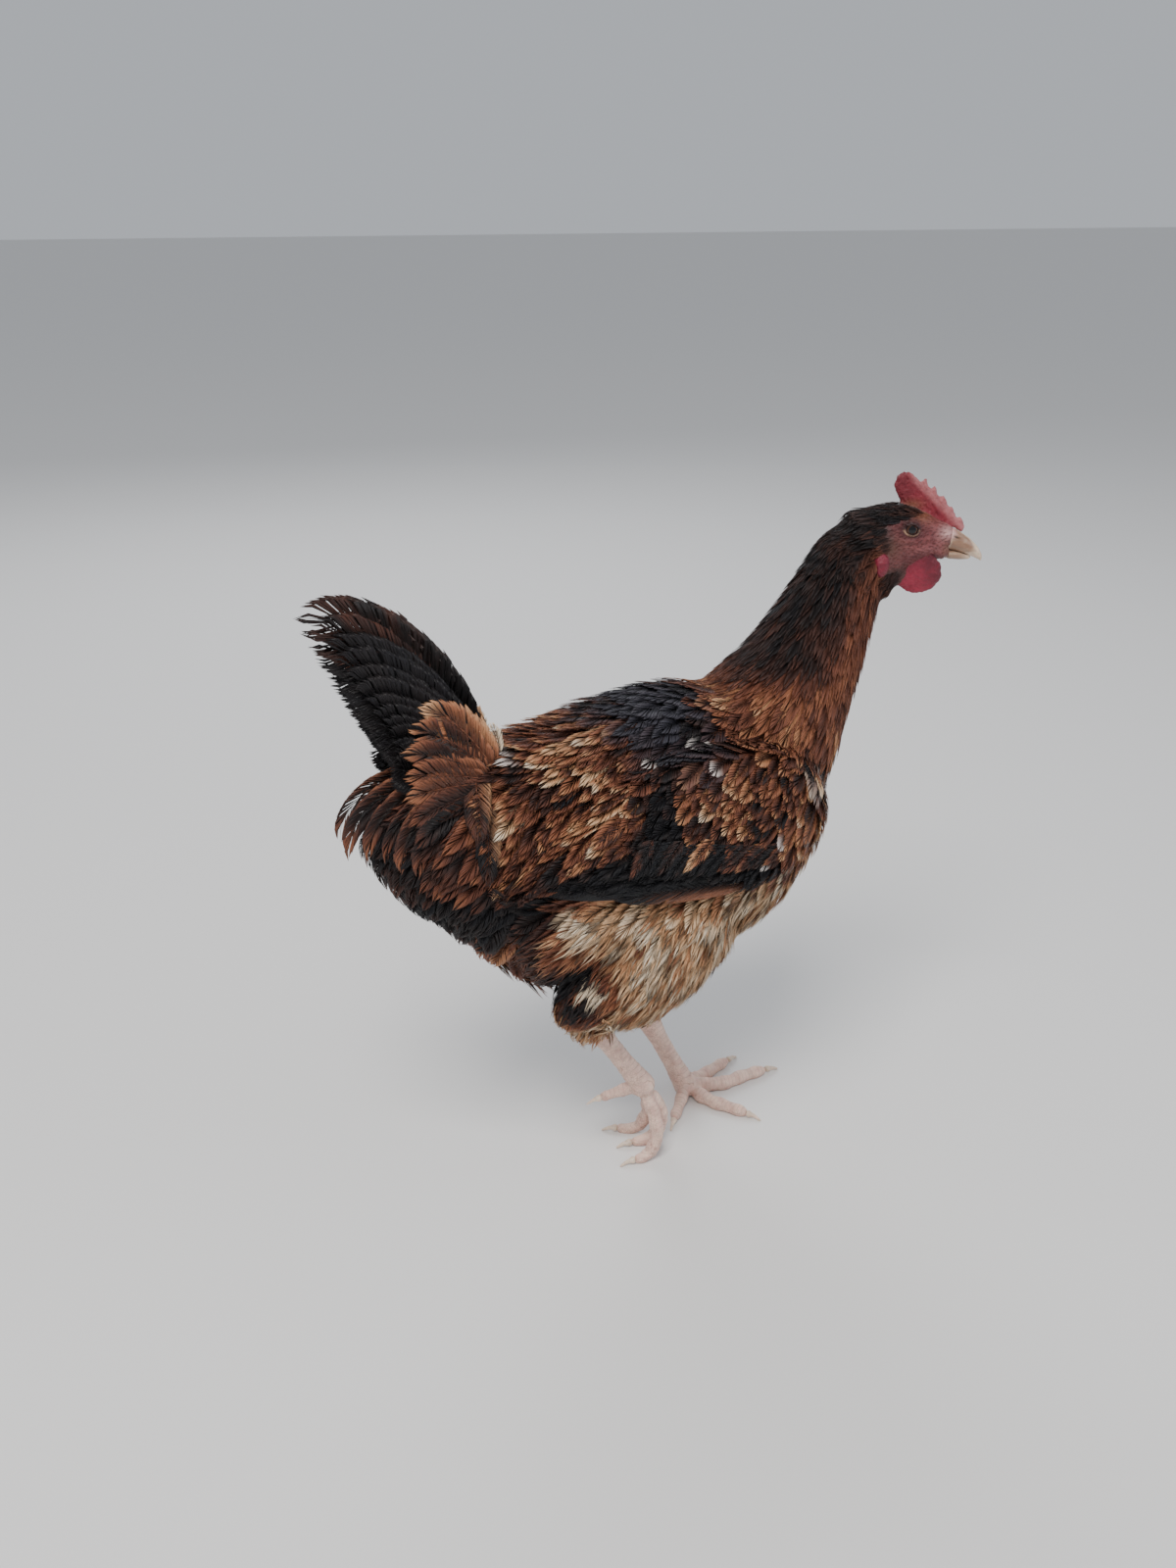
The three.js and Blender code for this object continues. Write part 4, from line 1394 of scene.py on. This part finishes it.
class Coat:
    """Feathers gathered into one mesh."""

    def __init__(self, region, seed):
        self.region = region
        self.rng = np.random.default_rng(seed)
        self.places, self.colours, self.patches, self.barbs = [], [], [], []

    def add(self, kind, paths, outs, lengths, colour_of):
        """Adds feathers along paths; colour_of gives colours from tones and roots."""
        if not len(paths):
            return
        variant = self.rng.integers(0, VARIANTS, len(paths))
        uneven = self.rng.normal(1, WIDTH_SPREAD, len(paths))
        widths = kind.width * (lengths / kind.length) * uneven
        for number in range(VARIANTS):
            mine = variant == number
            if not mine.any():
                continue
            table = tufts(kind, self.rng)
            corners = feather_corners(table, kind, paths[mine], outs[mine], widths[mine])
            self.colours.append(colour_of(table, corners, mine).reshape(-1, 3))
            self.places.append(corners.reshape(-1, 3))
            t = table[..., 0] / kind.length - 0.5
            u = table[..., 1] / kind.width
            shift = np.stack([u, 2 * t], -1)[None] * TUFT_PATCH
            patch = root_patch(paths[mine][:, 0], self.region)[:, None, None, :] + shift
            self.patches.append(patch.reshape(-1, 2))
            barb = np.arange(len(table))[:, None] * BARB_PITCH + TUFT_BARBS[None]
            start = self.rng.random((mine.sum(), 1, 1)) * BARB_SPAN
            self.barbs.append((barb[None] + start).reshape(-1))

    def strew(self, ground, kind, wanted, stretch=None):
        """Feathers of one kind strewn over the wanted faces of the skin, stretched place by place."""
        roots = strewn(ground, wanted, kind.spacing * MM, self.rng)
        if not len(roots):
            return
        number = nearest_node(roots)
        aims = lie_at(roots, number)
        disorder = AIM_SPREAD[0] + AIM_SPREAD[1] * kind.loose
        aims = unit(aims + self.rng.normal(0, disorder, aims.shape))
        lengths = kind.length * self.rng.normal(1, LENGTH_SPREAD, len(roots))
        if stretch:
            lengths = lengths * stretch(in_body(roots))
        lengths = np.maximum(lengths, 1.0) * bpy.context.scene.hen_sizes.feather_size
        paths, outs = laid(ground, roots, aims, lengths, kind)
        seen = paths[:, SEEN_NODE]
        number = nearest_node(seen)
        tones, mottle, rims = plumage_tone(seen, number)
        tones = tones + self.rng.normal(0, TONE_SPREAD[0], len(roots))
        tones = tones + mottle * self.rng.normal(0, TONE_SPREAD[1], len(roots))
        rims = rims * self.rng.uniform(*RIM_RANGE, len(roots))
        tint, strength = tints(seen, number, self.rng.random(len(roots)))

        def colour_of(table, corners, mine):
            colours = tone_colour(feather_tones(kind, table, tones[mine], rims[mine], corners))
            share = strength[mine][:, None, None]
            tip = step(0.5, 0.9, np.clip(table[..., 0] / kind.length, 0, 1))[None]
            share = np.where(share < 0, -share * tip, share + 0 * tip)
            return blend(colours, tint[mine][:, None, None, :], share)

        self.add(kind, paths, outs, lengths, colour_of)

    def finish(self, name, material, slot, *nodes):
        """Makes the mesh and puts it on the frame."""
        places = np.concatenate(self.places)
        count = len(places) // 5
        faces = (TUFT_FACES[None] + 5 * np.arange(count)[:, None, None]).reshape(-1, 3)
        mesh = bpy.data.meshes.new(name)
        mesh.vertices.add(len(places))
        mesh.vertices.foreach_set("co", places.astype(np.float32).ravel())
        mesh.loops.add(faces.size)
        mesh.loops.foreach_set("vertex_index", faces.ravel().astype(np.int32))
        mesh.polygons.add(len(faces))
        mesh.polygons.foreach_set("loop_start", np.arange(len(faces), dtype=np.int32) * 3)
        mesh.update(calc_edges=True)
        mesh.polygons.foreach_set("use_smooth", np.ones(len(faces), bool))
        write_colours(mesh, np.concatenate(self.colours))
        write_numbers(mesh, "barbs", np.concatenate(self.barbs))
        patches = np.concatenate(self.patches)[faces.ravel()]
        mesh.uv_layers.new(name="OFBake").data.foreach_set("uv", patches.astype(np.float32).ravel())
        mesh.materials.append(material)
        piece = bpy.data.objects.new(name, mesh)
        bpy.context.scene.collection.objects.link(piece)
        settle(piece, slot, *nodes)
        return piece


FLECKS = [  # forward and up of places where some feathers have white tips
    (-5, 257),
    (5, 220),
    (-44, 270),
    (-20, 268),
    (12, 212),
    (-123, 272),
    (-125, 264),
]


def tints(places, number, chance):
    """A colour each feather leans to, and how far; a share below 0 is for the tip alone."""
    p = in_body(places)
    tint = SLATE_SHEEN + 0 * p
    # painted slate sheen on the shoulders
    share = np.clip(1.2 * side_blob(p, (-36, 286), (36, 18)), 0, 0.9) * step(-2, -12, p[:, 0])
    share = np.maximum(share, 0.7 * side_blob(p, (-30, 264), (16, 12)))
    share = share * (chance < 0.8)

    def lean(those, colour, strength):
        tint[those] = colour
        share[those] = strength

    breast = blob(p, (70, 0, 218), (26, 120, 32)) * ~is_on(number, "neck")
    lean(chance < 0.85 * breast, ASH, 0.7)
    # the small feathers of the bare face
    bare = is_on(number, "head") * (1 - feathered_head(in_head(places)))
    tint[bare > 0.5] = user_colour("face") * 0.7
    share = np.maximum(share, 0.6 * bare)
    belly = (p[:, 2] < 186) & (p[:, 0] > -120) & ~is_on(number, "rump")
    lean((chance < 0.19) & belly, SOOT, -0.85)
    nearby = sum(side_blob(p, fleck, (6, 6)) for fleck in FLECKS)
    lean(chance > 1 - 0.4 * nearby, WHITE, -0.8)
    return tint, share


# ---------------------------------------------------------------- the coat's kinds
KINDS = {
    "crown": Kind(9.0, 1.4, 1.5, 8, 0.6, 0.9, 1.2, 0.0, 0.2, reach=0.5),
    "face": Kind(3.4, 0.20, 1.7, 1, 0.6, 0.95, 0.35, 0.0, 0.2, reach=0.95),
    "nape": Kind(17, 2.3, 2.0, 12, 0.6, 0.3, 2.5, 0.0, 0.15, reach=0.5),
    "hackle": Kind(23, 3.0, 3.0, 15, 0.8, 0.7, 3.0, 0.0, 0.10, reach=0.5),
    "cape": Kind(27, 5.0, 4.2, 16, 0.6, 0.6, 4.5, 0.0, 0.15, reach=0.42),
    "back": Kind(27, 7.0, 5.2, 18, 0.3, 0.45, 6.0, 0.0, 0.14),
    "breast": Kind(25, 6.0, 4.8, 16, 0.4, 0.6, 5.5, 0.0, 0.16),
    "wing": Kind(20, 5.6, 4.6, 15, 0.2, 0.7, 5.0, 0.0, 0.08, 0.10, 0.12),
    "saddle": Kind(28, 4.8, 4.3, 14, 0.45, 0.4, 7.5, 0.0, 0.30, 0.10, 0.12),
    "rump": Kind(40, 6.4, 5.4, 23, 0.5, 0.3, 9.0, 0.0, 0.16, 0.06, 0.25),
    "fluff": Kind(32, 4.6, 4.4, 14, 0.6, 0.5, 6.5, 0.0, 0.5, 0.08, reach=0.45),
    "thigh": Kind(27, 4.2, 3.9, 13, 0.6, 0.7, 5.5, 0.0, 0.5, 0.10, reach=0.45),
    "hock": Kind(10, 2.4, 2.4, 8, 0.5, 0.8, 2.0, 0.0, 0.4, 0.06),
}
KIND_NAMES = list(KINDS)
SHANK_TOPS = {side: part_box(f"shank_{side}")[1].z / MM for side in SIDES}
HOCK_BAND = 9  # millimetres of each shank that carry feathers


def kinds_at(places, number):
    """Which kind of feather grows at places, as its number among the kinds, or -1 for none.

    A later line takes over from the ones before it.
    """
    p = in_body(places)
    h = in_head(places)
    x, z = p[:, 0], p[:, 2]
    along, _ = round_the_neck(x, z)
    head, neck, trunk = (is_on(number, node) for node in ("head", "neck", "trunk"))
    wing = is_on(number, *WINGS)
    thigh = is_on(number, "thigh_left", "thigh_right")
    ragged = 0.15 + 0.6 * noise(places / MM, 2.0, 41)
    shank_tops = [
        is_on(number, f"shank_{side}") & (z > top - HOCK_BAND) for side, top in SHANK_TOPS.items()
    ]
    choices = [
        (head, "face"),
        (head & (feathered_head(h) > ragged), "crown"),
        (head & (h[:, 0] < 10) & (z > 362), "nape"),
        (neck, "hackle"),
        (neck & (z > 356), "nape"),
        (neck & (along < 0.30), "cape"),
        (trunk, "back"),
        (trunk & (x < -40) & (z > 215), "saddle"),
        (trunk & (x > 25) & (z < 262), "breast"),
        (trunk & (z < 188) & (x < 60), "fluff"),
        (is_on(number, "rump"), "rump"),
        (wing & ((z > 212) | (x > 6)), "wing"),
        (wing & (x < -64) & (z > 224), "saddle"),
        (thigh, "thigh"),
        (thigh & (z < 98), "hock"),
        *((shank_top, "hock") for shank_top in shank_tops),
    ]
    kinds = np.full(len(places), -1)
    for chosen, kind in choices:
        kinds[chosen] = KIND_NAMES.index(kind)
    return kinds


def coat_piece(name, slot, region, seed, kinds, stretch=None):
    """One coat piece holding the named kinds wherever they grow on the skin."""
    ground = the_ground()
    at_faces = kinds_at(ground.middles, ground.owners)
    coat = Coat(region, seed)
    for kind in kinds:
        coat.strew(ground, KINDS[kind], at_faces == KIND_NAMES.index(kind), stretch)
    return coat.finish(name, feather_material(name, roughness=0.58, sheen=0.0), slot)


GROUND = {}


def the_ground():
    """The skin's surface, worked out once."""
    if "skin" not in GROUND:
        GROUND["skin"] = Ground(bpy.data.objects["skin"])
    return GROUND["skin"]


def neck_stretch(p):
    """Hackles grow longer down the neck."""
    return np.clip(lerp(1.25, 0.55, (p[:, 2] - 250) / 120), 0.5, 1.3)


class HEN_OT_body_coat(bpy.types.Operator):
    """Feathers of the back, breast, saddle, rump and belly"""

    bl_idname = "hen.body_coat"
    bl_label = "Body feathers"

    def execute(self, context):
        coat_piece("coat_back", "body", "trunk", 11, ["back", "saddle"])
        coat_piece("coat_breast", "body", "trunk", 12, ["breast"])
        coat_piece("coat_rump", "body", "trunk", 13, ["rump"])
        coat_piece("coat_belly", "belly", "trunk", 14, ["fluff"])
        return {"FINISHED"}


class HEN_OT_neck_coat(bpy.types.Operator):
    """Hackles and cape"""

    bl_idname = "hen.neck_coat"
    bl_label = "Neck feathers"

    def execute(self, context):
        coat_piece("coat_neck", "hackle", "neck", 21, ["hackle", "cape"], neck_stretch)
        coat_piece("coat_head", "hackle", "neck", 22, ["crown", "nape", "face"])
        return {"FINISHED"}


class HEN_OT_leg_coat(bpy.types.Operator):
    """Down of the thighs"""

    bl_idname = "hen.leg_coat"
    bl_label = "Thigh feathers"

    def execute(self, context):
        coat_piece("coat_thighs", "belly", "legs", 31, ["thigh", "hock"])
        return {"FINISHED"}


class Row(NamedTuple):
    """A row of large feathers; pairs belong to its first and its last feather."""

    first: tuple  # root, forward and up
    last: tuple
    count: int
    aims: tuple
    lengths: tuple
    kind: Kind
    tones: tuple
    rim: float = 0.0
    fringed: int = 0  # how many of the first feathers have a coloured lower or front edge
    fringe: np.ndarray = RUSSET


FLIGHT = Kind(90, 9.5, pairs=56, point=0.2, cling=0.8, base=1.5, lift=2.0, loose=0.06)
FLIGHT = FLIGHT._replace(shaft=0.4, reach=0.16)
COVERT = FLIGHT._replace(width=5, base=3.0, lift=5.0, pairs=20, point=0.6, loose=0.3)
COVERT = COVERT._replace(reach=0.3, speckle=0.2)
WING_ROWS = [
    Row((14, 198), (-40, 222), 12, ((-1, 0.07), (-1, -0.05)), (100, 74), FLIGHT, (0.02, 0.0), 0.0, 2),
    Row((24, 213), (-58, 232), 16, ((-1, -0.3), (-0.6, -0.8)), (25, 25), COVERT, (0.40, 0.0), 0.28),
]
ROW_RISE = 0.12  # millimetres each feather of a row lies over the one before


def wing_row(coat, ground, side, row):
    """Lays one row of large feathers on the skin's side, each over the one before."""
    share = np.linspace(0, 1, row.count)[:, None]
    flat = lerp(np.array(row.first), np.array(row.last), share) + coat.rng.normal(0, 0.8, (row.count, 2))
    roots = ground.beside(from_body(np.insert(flat, 1, 0, axis=1)), side)
    aims = np.insert(lerp(np.array(row.aims[0], float), np.array(row.aims[1]), share), 1, 0, axis=1)
    lengths = lerp(*row.lengths, share[:, 0]) * coat.rng.normal(1, 0.03, row.count)
    tones = lerp(*row.tones, share[:, 0]) + coat.rng.normal(0, 0.02 + 0.6 * row.rim, row.count)
    for i in range(row.count):
        rise = ROW_RISE * i
        kind = row.kind._replace(base=row.kind.base + rise, lift=row.kind.lift + rise, length=lengths[i])
        paths, outs = laid(ground, roots[i : i + 1], aims[i : i + 1], lengths[i], kind)

        def colour_of(table, corners, mine):
            rims = row.rim * (1 - share[i])
            colours = tone_colour(feather_tones(kind, table, tones[i : i + 1], rims, corners))
            edge = (i < row.fringed) * step(0.55, 0.95, -table[..., 1] * side / kind.width)
            return blend(colours, row.fringe, 0.9 * edge[None] + 0 * colours[..., 0])

        coat.add(kind, paths, outs, lengths[i : i + 1], colour_of)


class HEN_OT_wing_coat(bpy.types.Operator):
    """Coverts and flight feathers of the folded wings"""

    bl_idname = "hen.wing_coat"
    bl_label = "Wing feathers"

    def execute(self, context):
        coat_piece("coat_wings", "wing", "trunk", 41, ["wing"])
        for name, side in SIDES.items():
            coat = Coat("trunk", 43)
            for row in WING_ROWS:
                wing_row(coat, the_ground(), side, row)
            material = feather_material("wing_quill", roughness=0.45, sheen=0.05)
            coat.finish(f"wing_quills_{name}", material, "wing")
        return {"FINISHED"}


# ---------------------------------------------------------------- the tail
class Plume(NamedTuple):
    """A feather of the tail, which stands in a nearly upright plane; lengths in millimetres."""

    base: tuple  # forward and up
    heading: float  # degrees up from forward, at the root
    bend: float  # degrees the heading turns along the length
    length: float
    width: float
    offset: float  # of the root from the bird's middle
    tone: float = 0.0
    rim: float = 0.1
    dark: float = 0.0  # how dark its middle is
    splay: float = 10.0  # degrees it turns outward
    loose: float = 0.15


def tail_form(pair):
    """Size and stance of a tail feather, from the top pair, 0, down."""
    down = pair / (TAIL_PAIRS - 1)
    return Plume(
        base=(lerp(-130, -142, down), lerp(264, 254, down)),
        heading=lerp(116.5, 146, down),
        bend=lerp(66, 14, down),
        length=46 + 86 * max(1 - down, 0) ** 1.5,
        width=lerp(28, 22, down),
        offset=0.9 + 1.9 * pair,
        splay=1.3 * pair,
    )


BEND_STEPS = 28


def upright_path(form, sign):
    """Nodes and outward ways of a feather that stands in a nearly upright plane."""
    points = [np.array(form.base, float)]
    for i in range(BEND_STEPS):
        angle = math.radians(form.heading + form.bend * (i / BEND_STEPS) ** 2.2)
        stride = form.length / BEND_STEPS
        points.append(points[-1] + stride * np.array((math.cos(angle), math.sin(angle))))
    picks = np.linspace(0, BEND_STEPS, UPRIGHT_NODES).round().astype(int)
    flat = np.array(points)[picks]
    turn = math.radians(-sign * form.splay)
    reach = flat[:, 0] - form.base[0]
    x = form.base[0] + reach * math.cos(turn)
    y = sign * form.offset + reach * math.sin(turn)
    out = np.array((-math.sin(turn), math.cos(turn), 0.0)) * sign
    places = from_body(np.stack([x, y, flat[:, 1]], -1))
    return places[None], np.broadcast_to(out, places.shape)[None]


def tail_vane(coat, sign, pair):
    """One of the tail's own feathers: black, the top ones browner towards the end."""
    form = tail_form(pair)
    kind = Kind(form.length, form.width * 0.56, pairs=96, point=-0.5, loose=0.05)
    kind = kind._replace(shaft=0.55, reach=0.17, full=1.8)
    paths, outs = upright_path(form, sign)

    def colour_of(table, corners, mine):
        t = np.clip(table[..., 0] / kind.length, 0, 1)[None]
        front = step(0.1, 0.9, -table[..., 1] * sign / kind.width)[None]
        patch = noise(corners / MM, 7, 31)
        brown = (0.24 if pair < 1 else 0.05) * step(0.15, 0.5, t) * (0.3 + patch)
        pale = 0.45 * (pair < 1) * front * bump_at(t, 0.5, 0.2) * step(0.45, 0.7, patch)
        return tone_colour(0.02 + 0.05 * (patch - 0.4) + brown + pale)

    coat.add(kind, paths, outs, np.array([form.length]), colour_of)


PLUME_SHAFT = 0.35
TAIL_COVERTS = [
    Plume((-124, 271), 96, 30, 20, 8, 13.5, 1.0, 0.0, loose=0.3),
    Plume((-127, 271), 118, 30, 20, 8, 14.5, 1.0, 0.0, loose=0.3),
    Plume((-126, 262), 122, 42, 64, 24, 16.0, 0.59, 0.20),
    Plume((-128, 262), 134, 34, 60, 24, 17.2, 0.57, 0.20, 0.56),
    Plume((-130, 261), 146, 28, 56, 22, 18.0, 0.54, 0.18, 0.50),
    Plume((-130, 260), 160, 22, 52, 22, 19.0, 0.51, 0.12, 0.10),
    Plume((-131, 259), 172, 22, 50, 22, 19.6, 0.50, 0.12),
    Plume((-131, 257), 186, 24, 50, 20, 20.4, 0.34, 0.14),
    Plume((-132, 256), 200, 26, 50, 20, 21.0, 0.20, 0.18, 0.06),
]
SICKLES = [
    Plume((-146, 263), 186, 92, 78, 13, 7.0, 0.16, 0.46, splay=2),
    Plume((-143, 262), 190, 88, 72, 13, 10.0, 0.22, 0.42, splay=4),
    Plume((-140, 262), 196, 80, 68, 13, 13.0, 0.16, 0.42, splay=6),
    Plume((-138, 261), 203, 74, 66, 13, 16.0, 0.26, 0.34, splay=8),
    Plume((-136, 260), 212, 62, 62, 13, 18.5, 0.20, 0.38, splay=10),
]
RUMP_EDGE = Row(
    (-143, 262),
    (-136, 262),
    2,
    ((0, -1), (0.15, -1)),
    (46, 42),
    FLIGHT._replace(width=7, base=5.5, lift=8.5, pairs=32, reach=0.26, loose=0.18, speckle=0.24),
    (0.38, 0.30),
    0.16,
    2,
    GOLD,
)


def plume(coat, sign, form, pairs):
    """Adds one feather round the tail, with a finer shaft the looser it is."""
    kind = Kind(form.length, form.width / 2, pairs=pairs, point=0.25, loose=form.loose, reach=0.2)
    kind = kind._replace(shaft=PLUME_SHAFT * step(0.8, 0.2, form.loose), full=1.9)
    paths, outs = upright_path(form, sign)

    def colour_of(table, corners, mine):
        tones = feather_tones(kind, table, np.array([form.tone]), np.array([form.rim]), corners)
        t = table[..., 0] / kind.length
        heart = bump_at(t, 0.55, 0.28) * bump_at(table[..., 1] / kind.width, 0.0, 0.7)
        return tone_colour(tones - form.dark * heart[None])

    coat.add(kind, paths, outs, np.array([form.length]), colour_of)


class HEN_OT_tail(bpy.types.Operator):
    """Tail feathers with separate barbs, one for each CAD blade, and the coverts round them"""

    bl_idname = "hen.tail"
    bl_label = "Tail feathers"

    def execute(self, context):
        glossy = feather_material("tail_feather", roughness=0.42, sheen=0.03)
        soft = feather_material("tail_covert", roughness=0.55, sheen=0.06)
        for side, sign in SIDES.items():
            for pair in range(TAIL_PAIRS):
                name = f"{side}_{pair + 1}"
                coat = Coat("trunk", 50 + pair + 20 * int(sign > 0))
                tail_vane(coat, sign, pair)
                tail_vane(coat, sign, pair + 0.5)
                coat.finish(f"tail_vane_{name}", glossy, "tail", f"tail_feather_{name}")
            coat = Coat("trunk", 90 + int(sign > 0))
            for form in TAIL_COVERTS:
                plume(coat, sign, form, 40)
            coat.finish(f"tail_coverts_{side}", soft, "tail", f"tail_covert_{side}")
            coat = Coat("trunk", 94 + int(sign > 0))
            for form in SICKLES:
                plume(coat, sign, form, 44)
            wing_row(coat, the_ground(), sign, RUMP_EDGE)
            coat.finish(f"tail_sickles_{side}", soft, "tail")
        return {"FINISHED"}


# ---------------------------------------------------------------- stage
VIEW_AZIMUTH = math.radians(-23)
VIEW_ELEVATION = math.radians(23)
CAMERA_PLACE = (-342.3, -645.4, 537.7)  # from the floor under the hips
FOCAL_LENGTH = 31.88
SENSOR = 36.0
FLOOR_SIZE = 40.0
FLOOR_GREY = (0.74, 0.73, 0.72, 1.0)
SKY = (0.80, 0.84, 0.90, 1.0)
SKY_STRENGTH = 0.6
LIT_PLACE = (0.0, 0.0, 0.2)  # what the lights are aimed at, in metres
LIGHTS = [  # name, place and size in metres, watts and colour
    ("key", (-0.7, -0.9, 1.9), 0.8, 40.0, (1.0, 0.97, 0.93)),
    ("fill", (1.6, -0.9, 0.9), 1.4, 9.0, (0.88, 0.93, 1.0)),
    ("rim", (0.2, 1.6, 1.4), 1.0, 14.0, (0.95, 0.97, 1.0)),
]


def area_light(name, place, size, watts, colour):
    """A soft square light aimed at the hen."""
    lamp = bpy.data.lights.new(name, "AREA")
    lamp.shape = "SQUARE"
    lamp.size = size
    lamp.energy = watts
    lamp.color = colour
    made = bpy.data.objects.new(name, lamp)
    bpy.context.scene.collection.objects.link(made)
    made.location = place
    made.rotation_euler = (Vector(LIT_PLACE) - Vector(place)).to_track_quat("-Z", "Y").to_euler()


class HEN_OT_stage(bpy.types.Operator):
    """Floor, soft lights and camera"""

    bl_idname = "hen.stage"
    bl_label = "Stage"

    def execute(self, context):
        bpy.ops.mesh.primitive_plane_add(size=FLOOR_SIZE)
        floor = context.object
        floor.name = "floor"
        material, _, _ = new_material("pale_floor", roughness=0.9, sockets={"Base Color": FLOOR_GREY})
        floor.data.materials.append(material)
        world = context.scene.world or bpy.data.worlds.new("studio")
        context.scene.world = world
        world.use_nodes = True
        backdrop = world.node_tree.nodes["Background"]
        backdrop.inputs["Color"].default_value = SKY
        backdrop.inputs["Strength"].default_value = SKY_STRENGTH
        for light in LIGHTS:
            area_light(*light)
        lens = bpy.data.cameras.new("camera")
        lens.sensor_width = SENSOR
        lens.lens = FOCAL_LENGTH
        lens.clip_start = 0.01
        camera = bpy.data.objects.new("camera", lens)
        context.scene.collection.objects.link(camera)
        camera.location = from_body(CAMERA_PLACE)
        camera.rotation_euler = (math.pi / 2 - VIEW_ELEVATION, 0.0, VIEW_AZIMUTH)
        context.scene.camera = camera
        return {"FINISHED"}


OPERATORS = [
    HEN_OT_skin,
    HEN_OT_eyes,
    HEN_OT_beak,
    HEN_OT_claws,
    HEN_OT_body_coat,
    HEN_OT_neck_coat,
    HEN_OT_leg_coat,
    HEN_OT_wing_coat,
    HEN_OT_tail,
    HEN_OT_stage,
]


class HEN_PT_build(bpy.types.Panel):
    """Lists the hen's pieces in the order they are built"""

    bl_idname = "HEN_PT_build"
    bl_label = "Hen"
    bl_space_type = "VIEW_3D"
    bl_region_type = "UI"
    bl_category = "Hen"

    def draw(self, context):
        scene = context.scene
        for group, settings in ((HenSizes, scene.hen_sizes), (HenColours, scene.hen_colours)):
            for name in group.__annotations__:
                self.layout.prop(settings, name)
        for operator in OPERATORS:
            self.layout.operator(operator.bl_idname)


CLASSES = [HenSizes, HenColours, *OPERATORS, HEN_PT_build]


def register():
    """Adds the operators, the panel and the scene's settings."""
    for kind in CLASSES:
        bpy.utils.register_class(kind)
    bpy.types.Scene.hen_sizes = PointerProperty(type=HenSizes)
    bpy.types.Scene.hen_colours = PointerProperty(type=HenColours)


def unregister():
    """Takes away what register added."""
    del bpy.types.Scene.hen_colours
    del bpy.types.Scene.hen_sizes
    for kind in reversed(CLASSES):
        bpy.utils.unregister_class(kind)


def main():
    """Builds the hen, piece by piece."""
    register()
    for operator in OPERATORS:
        group, name = operator.bl_idname.split(".")
        getattr(getattr(bpy.ops, group), name)()


if __name__ == "__main__":
    main()
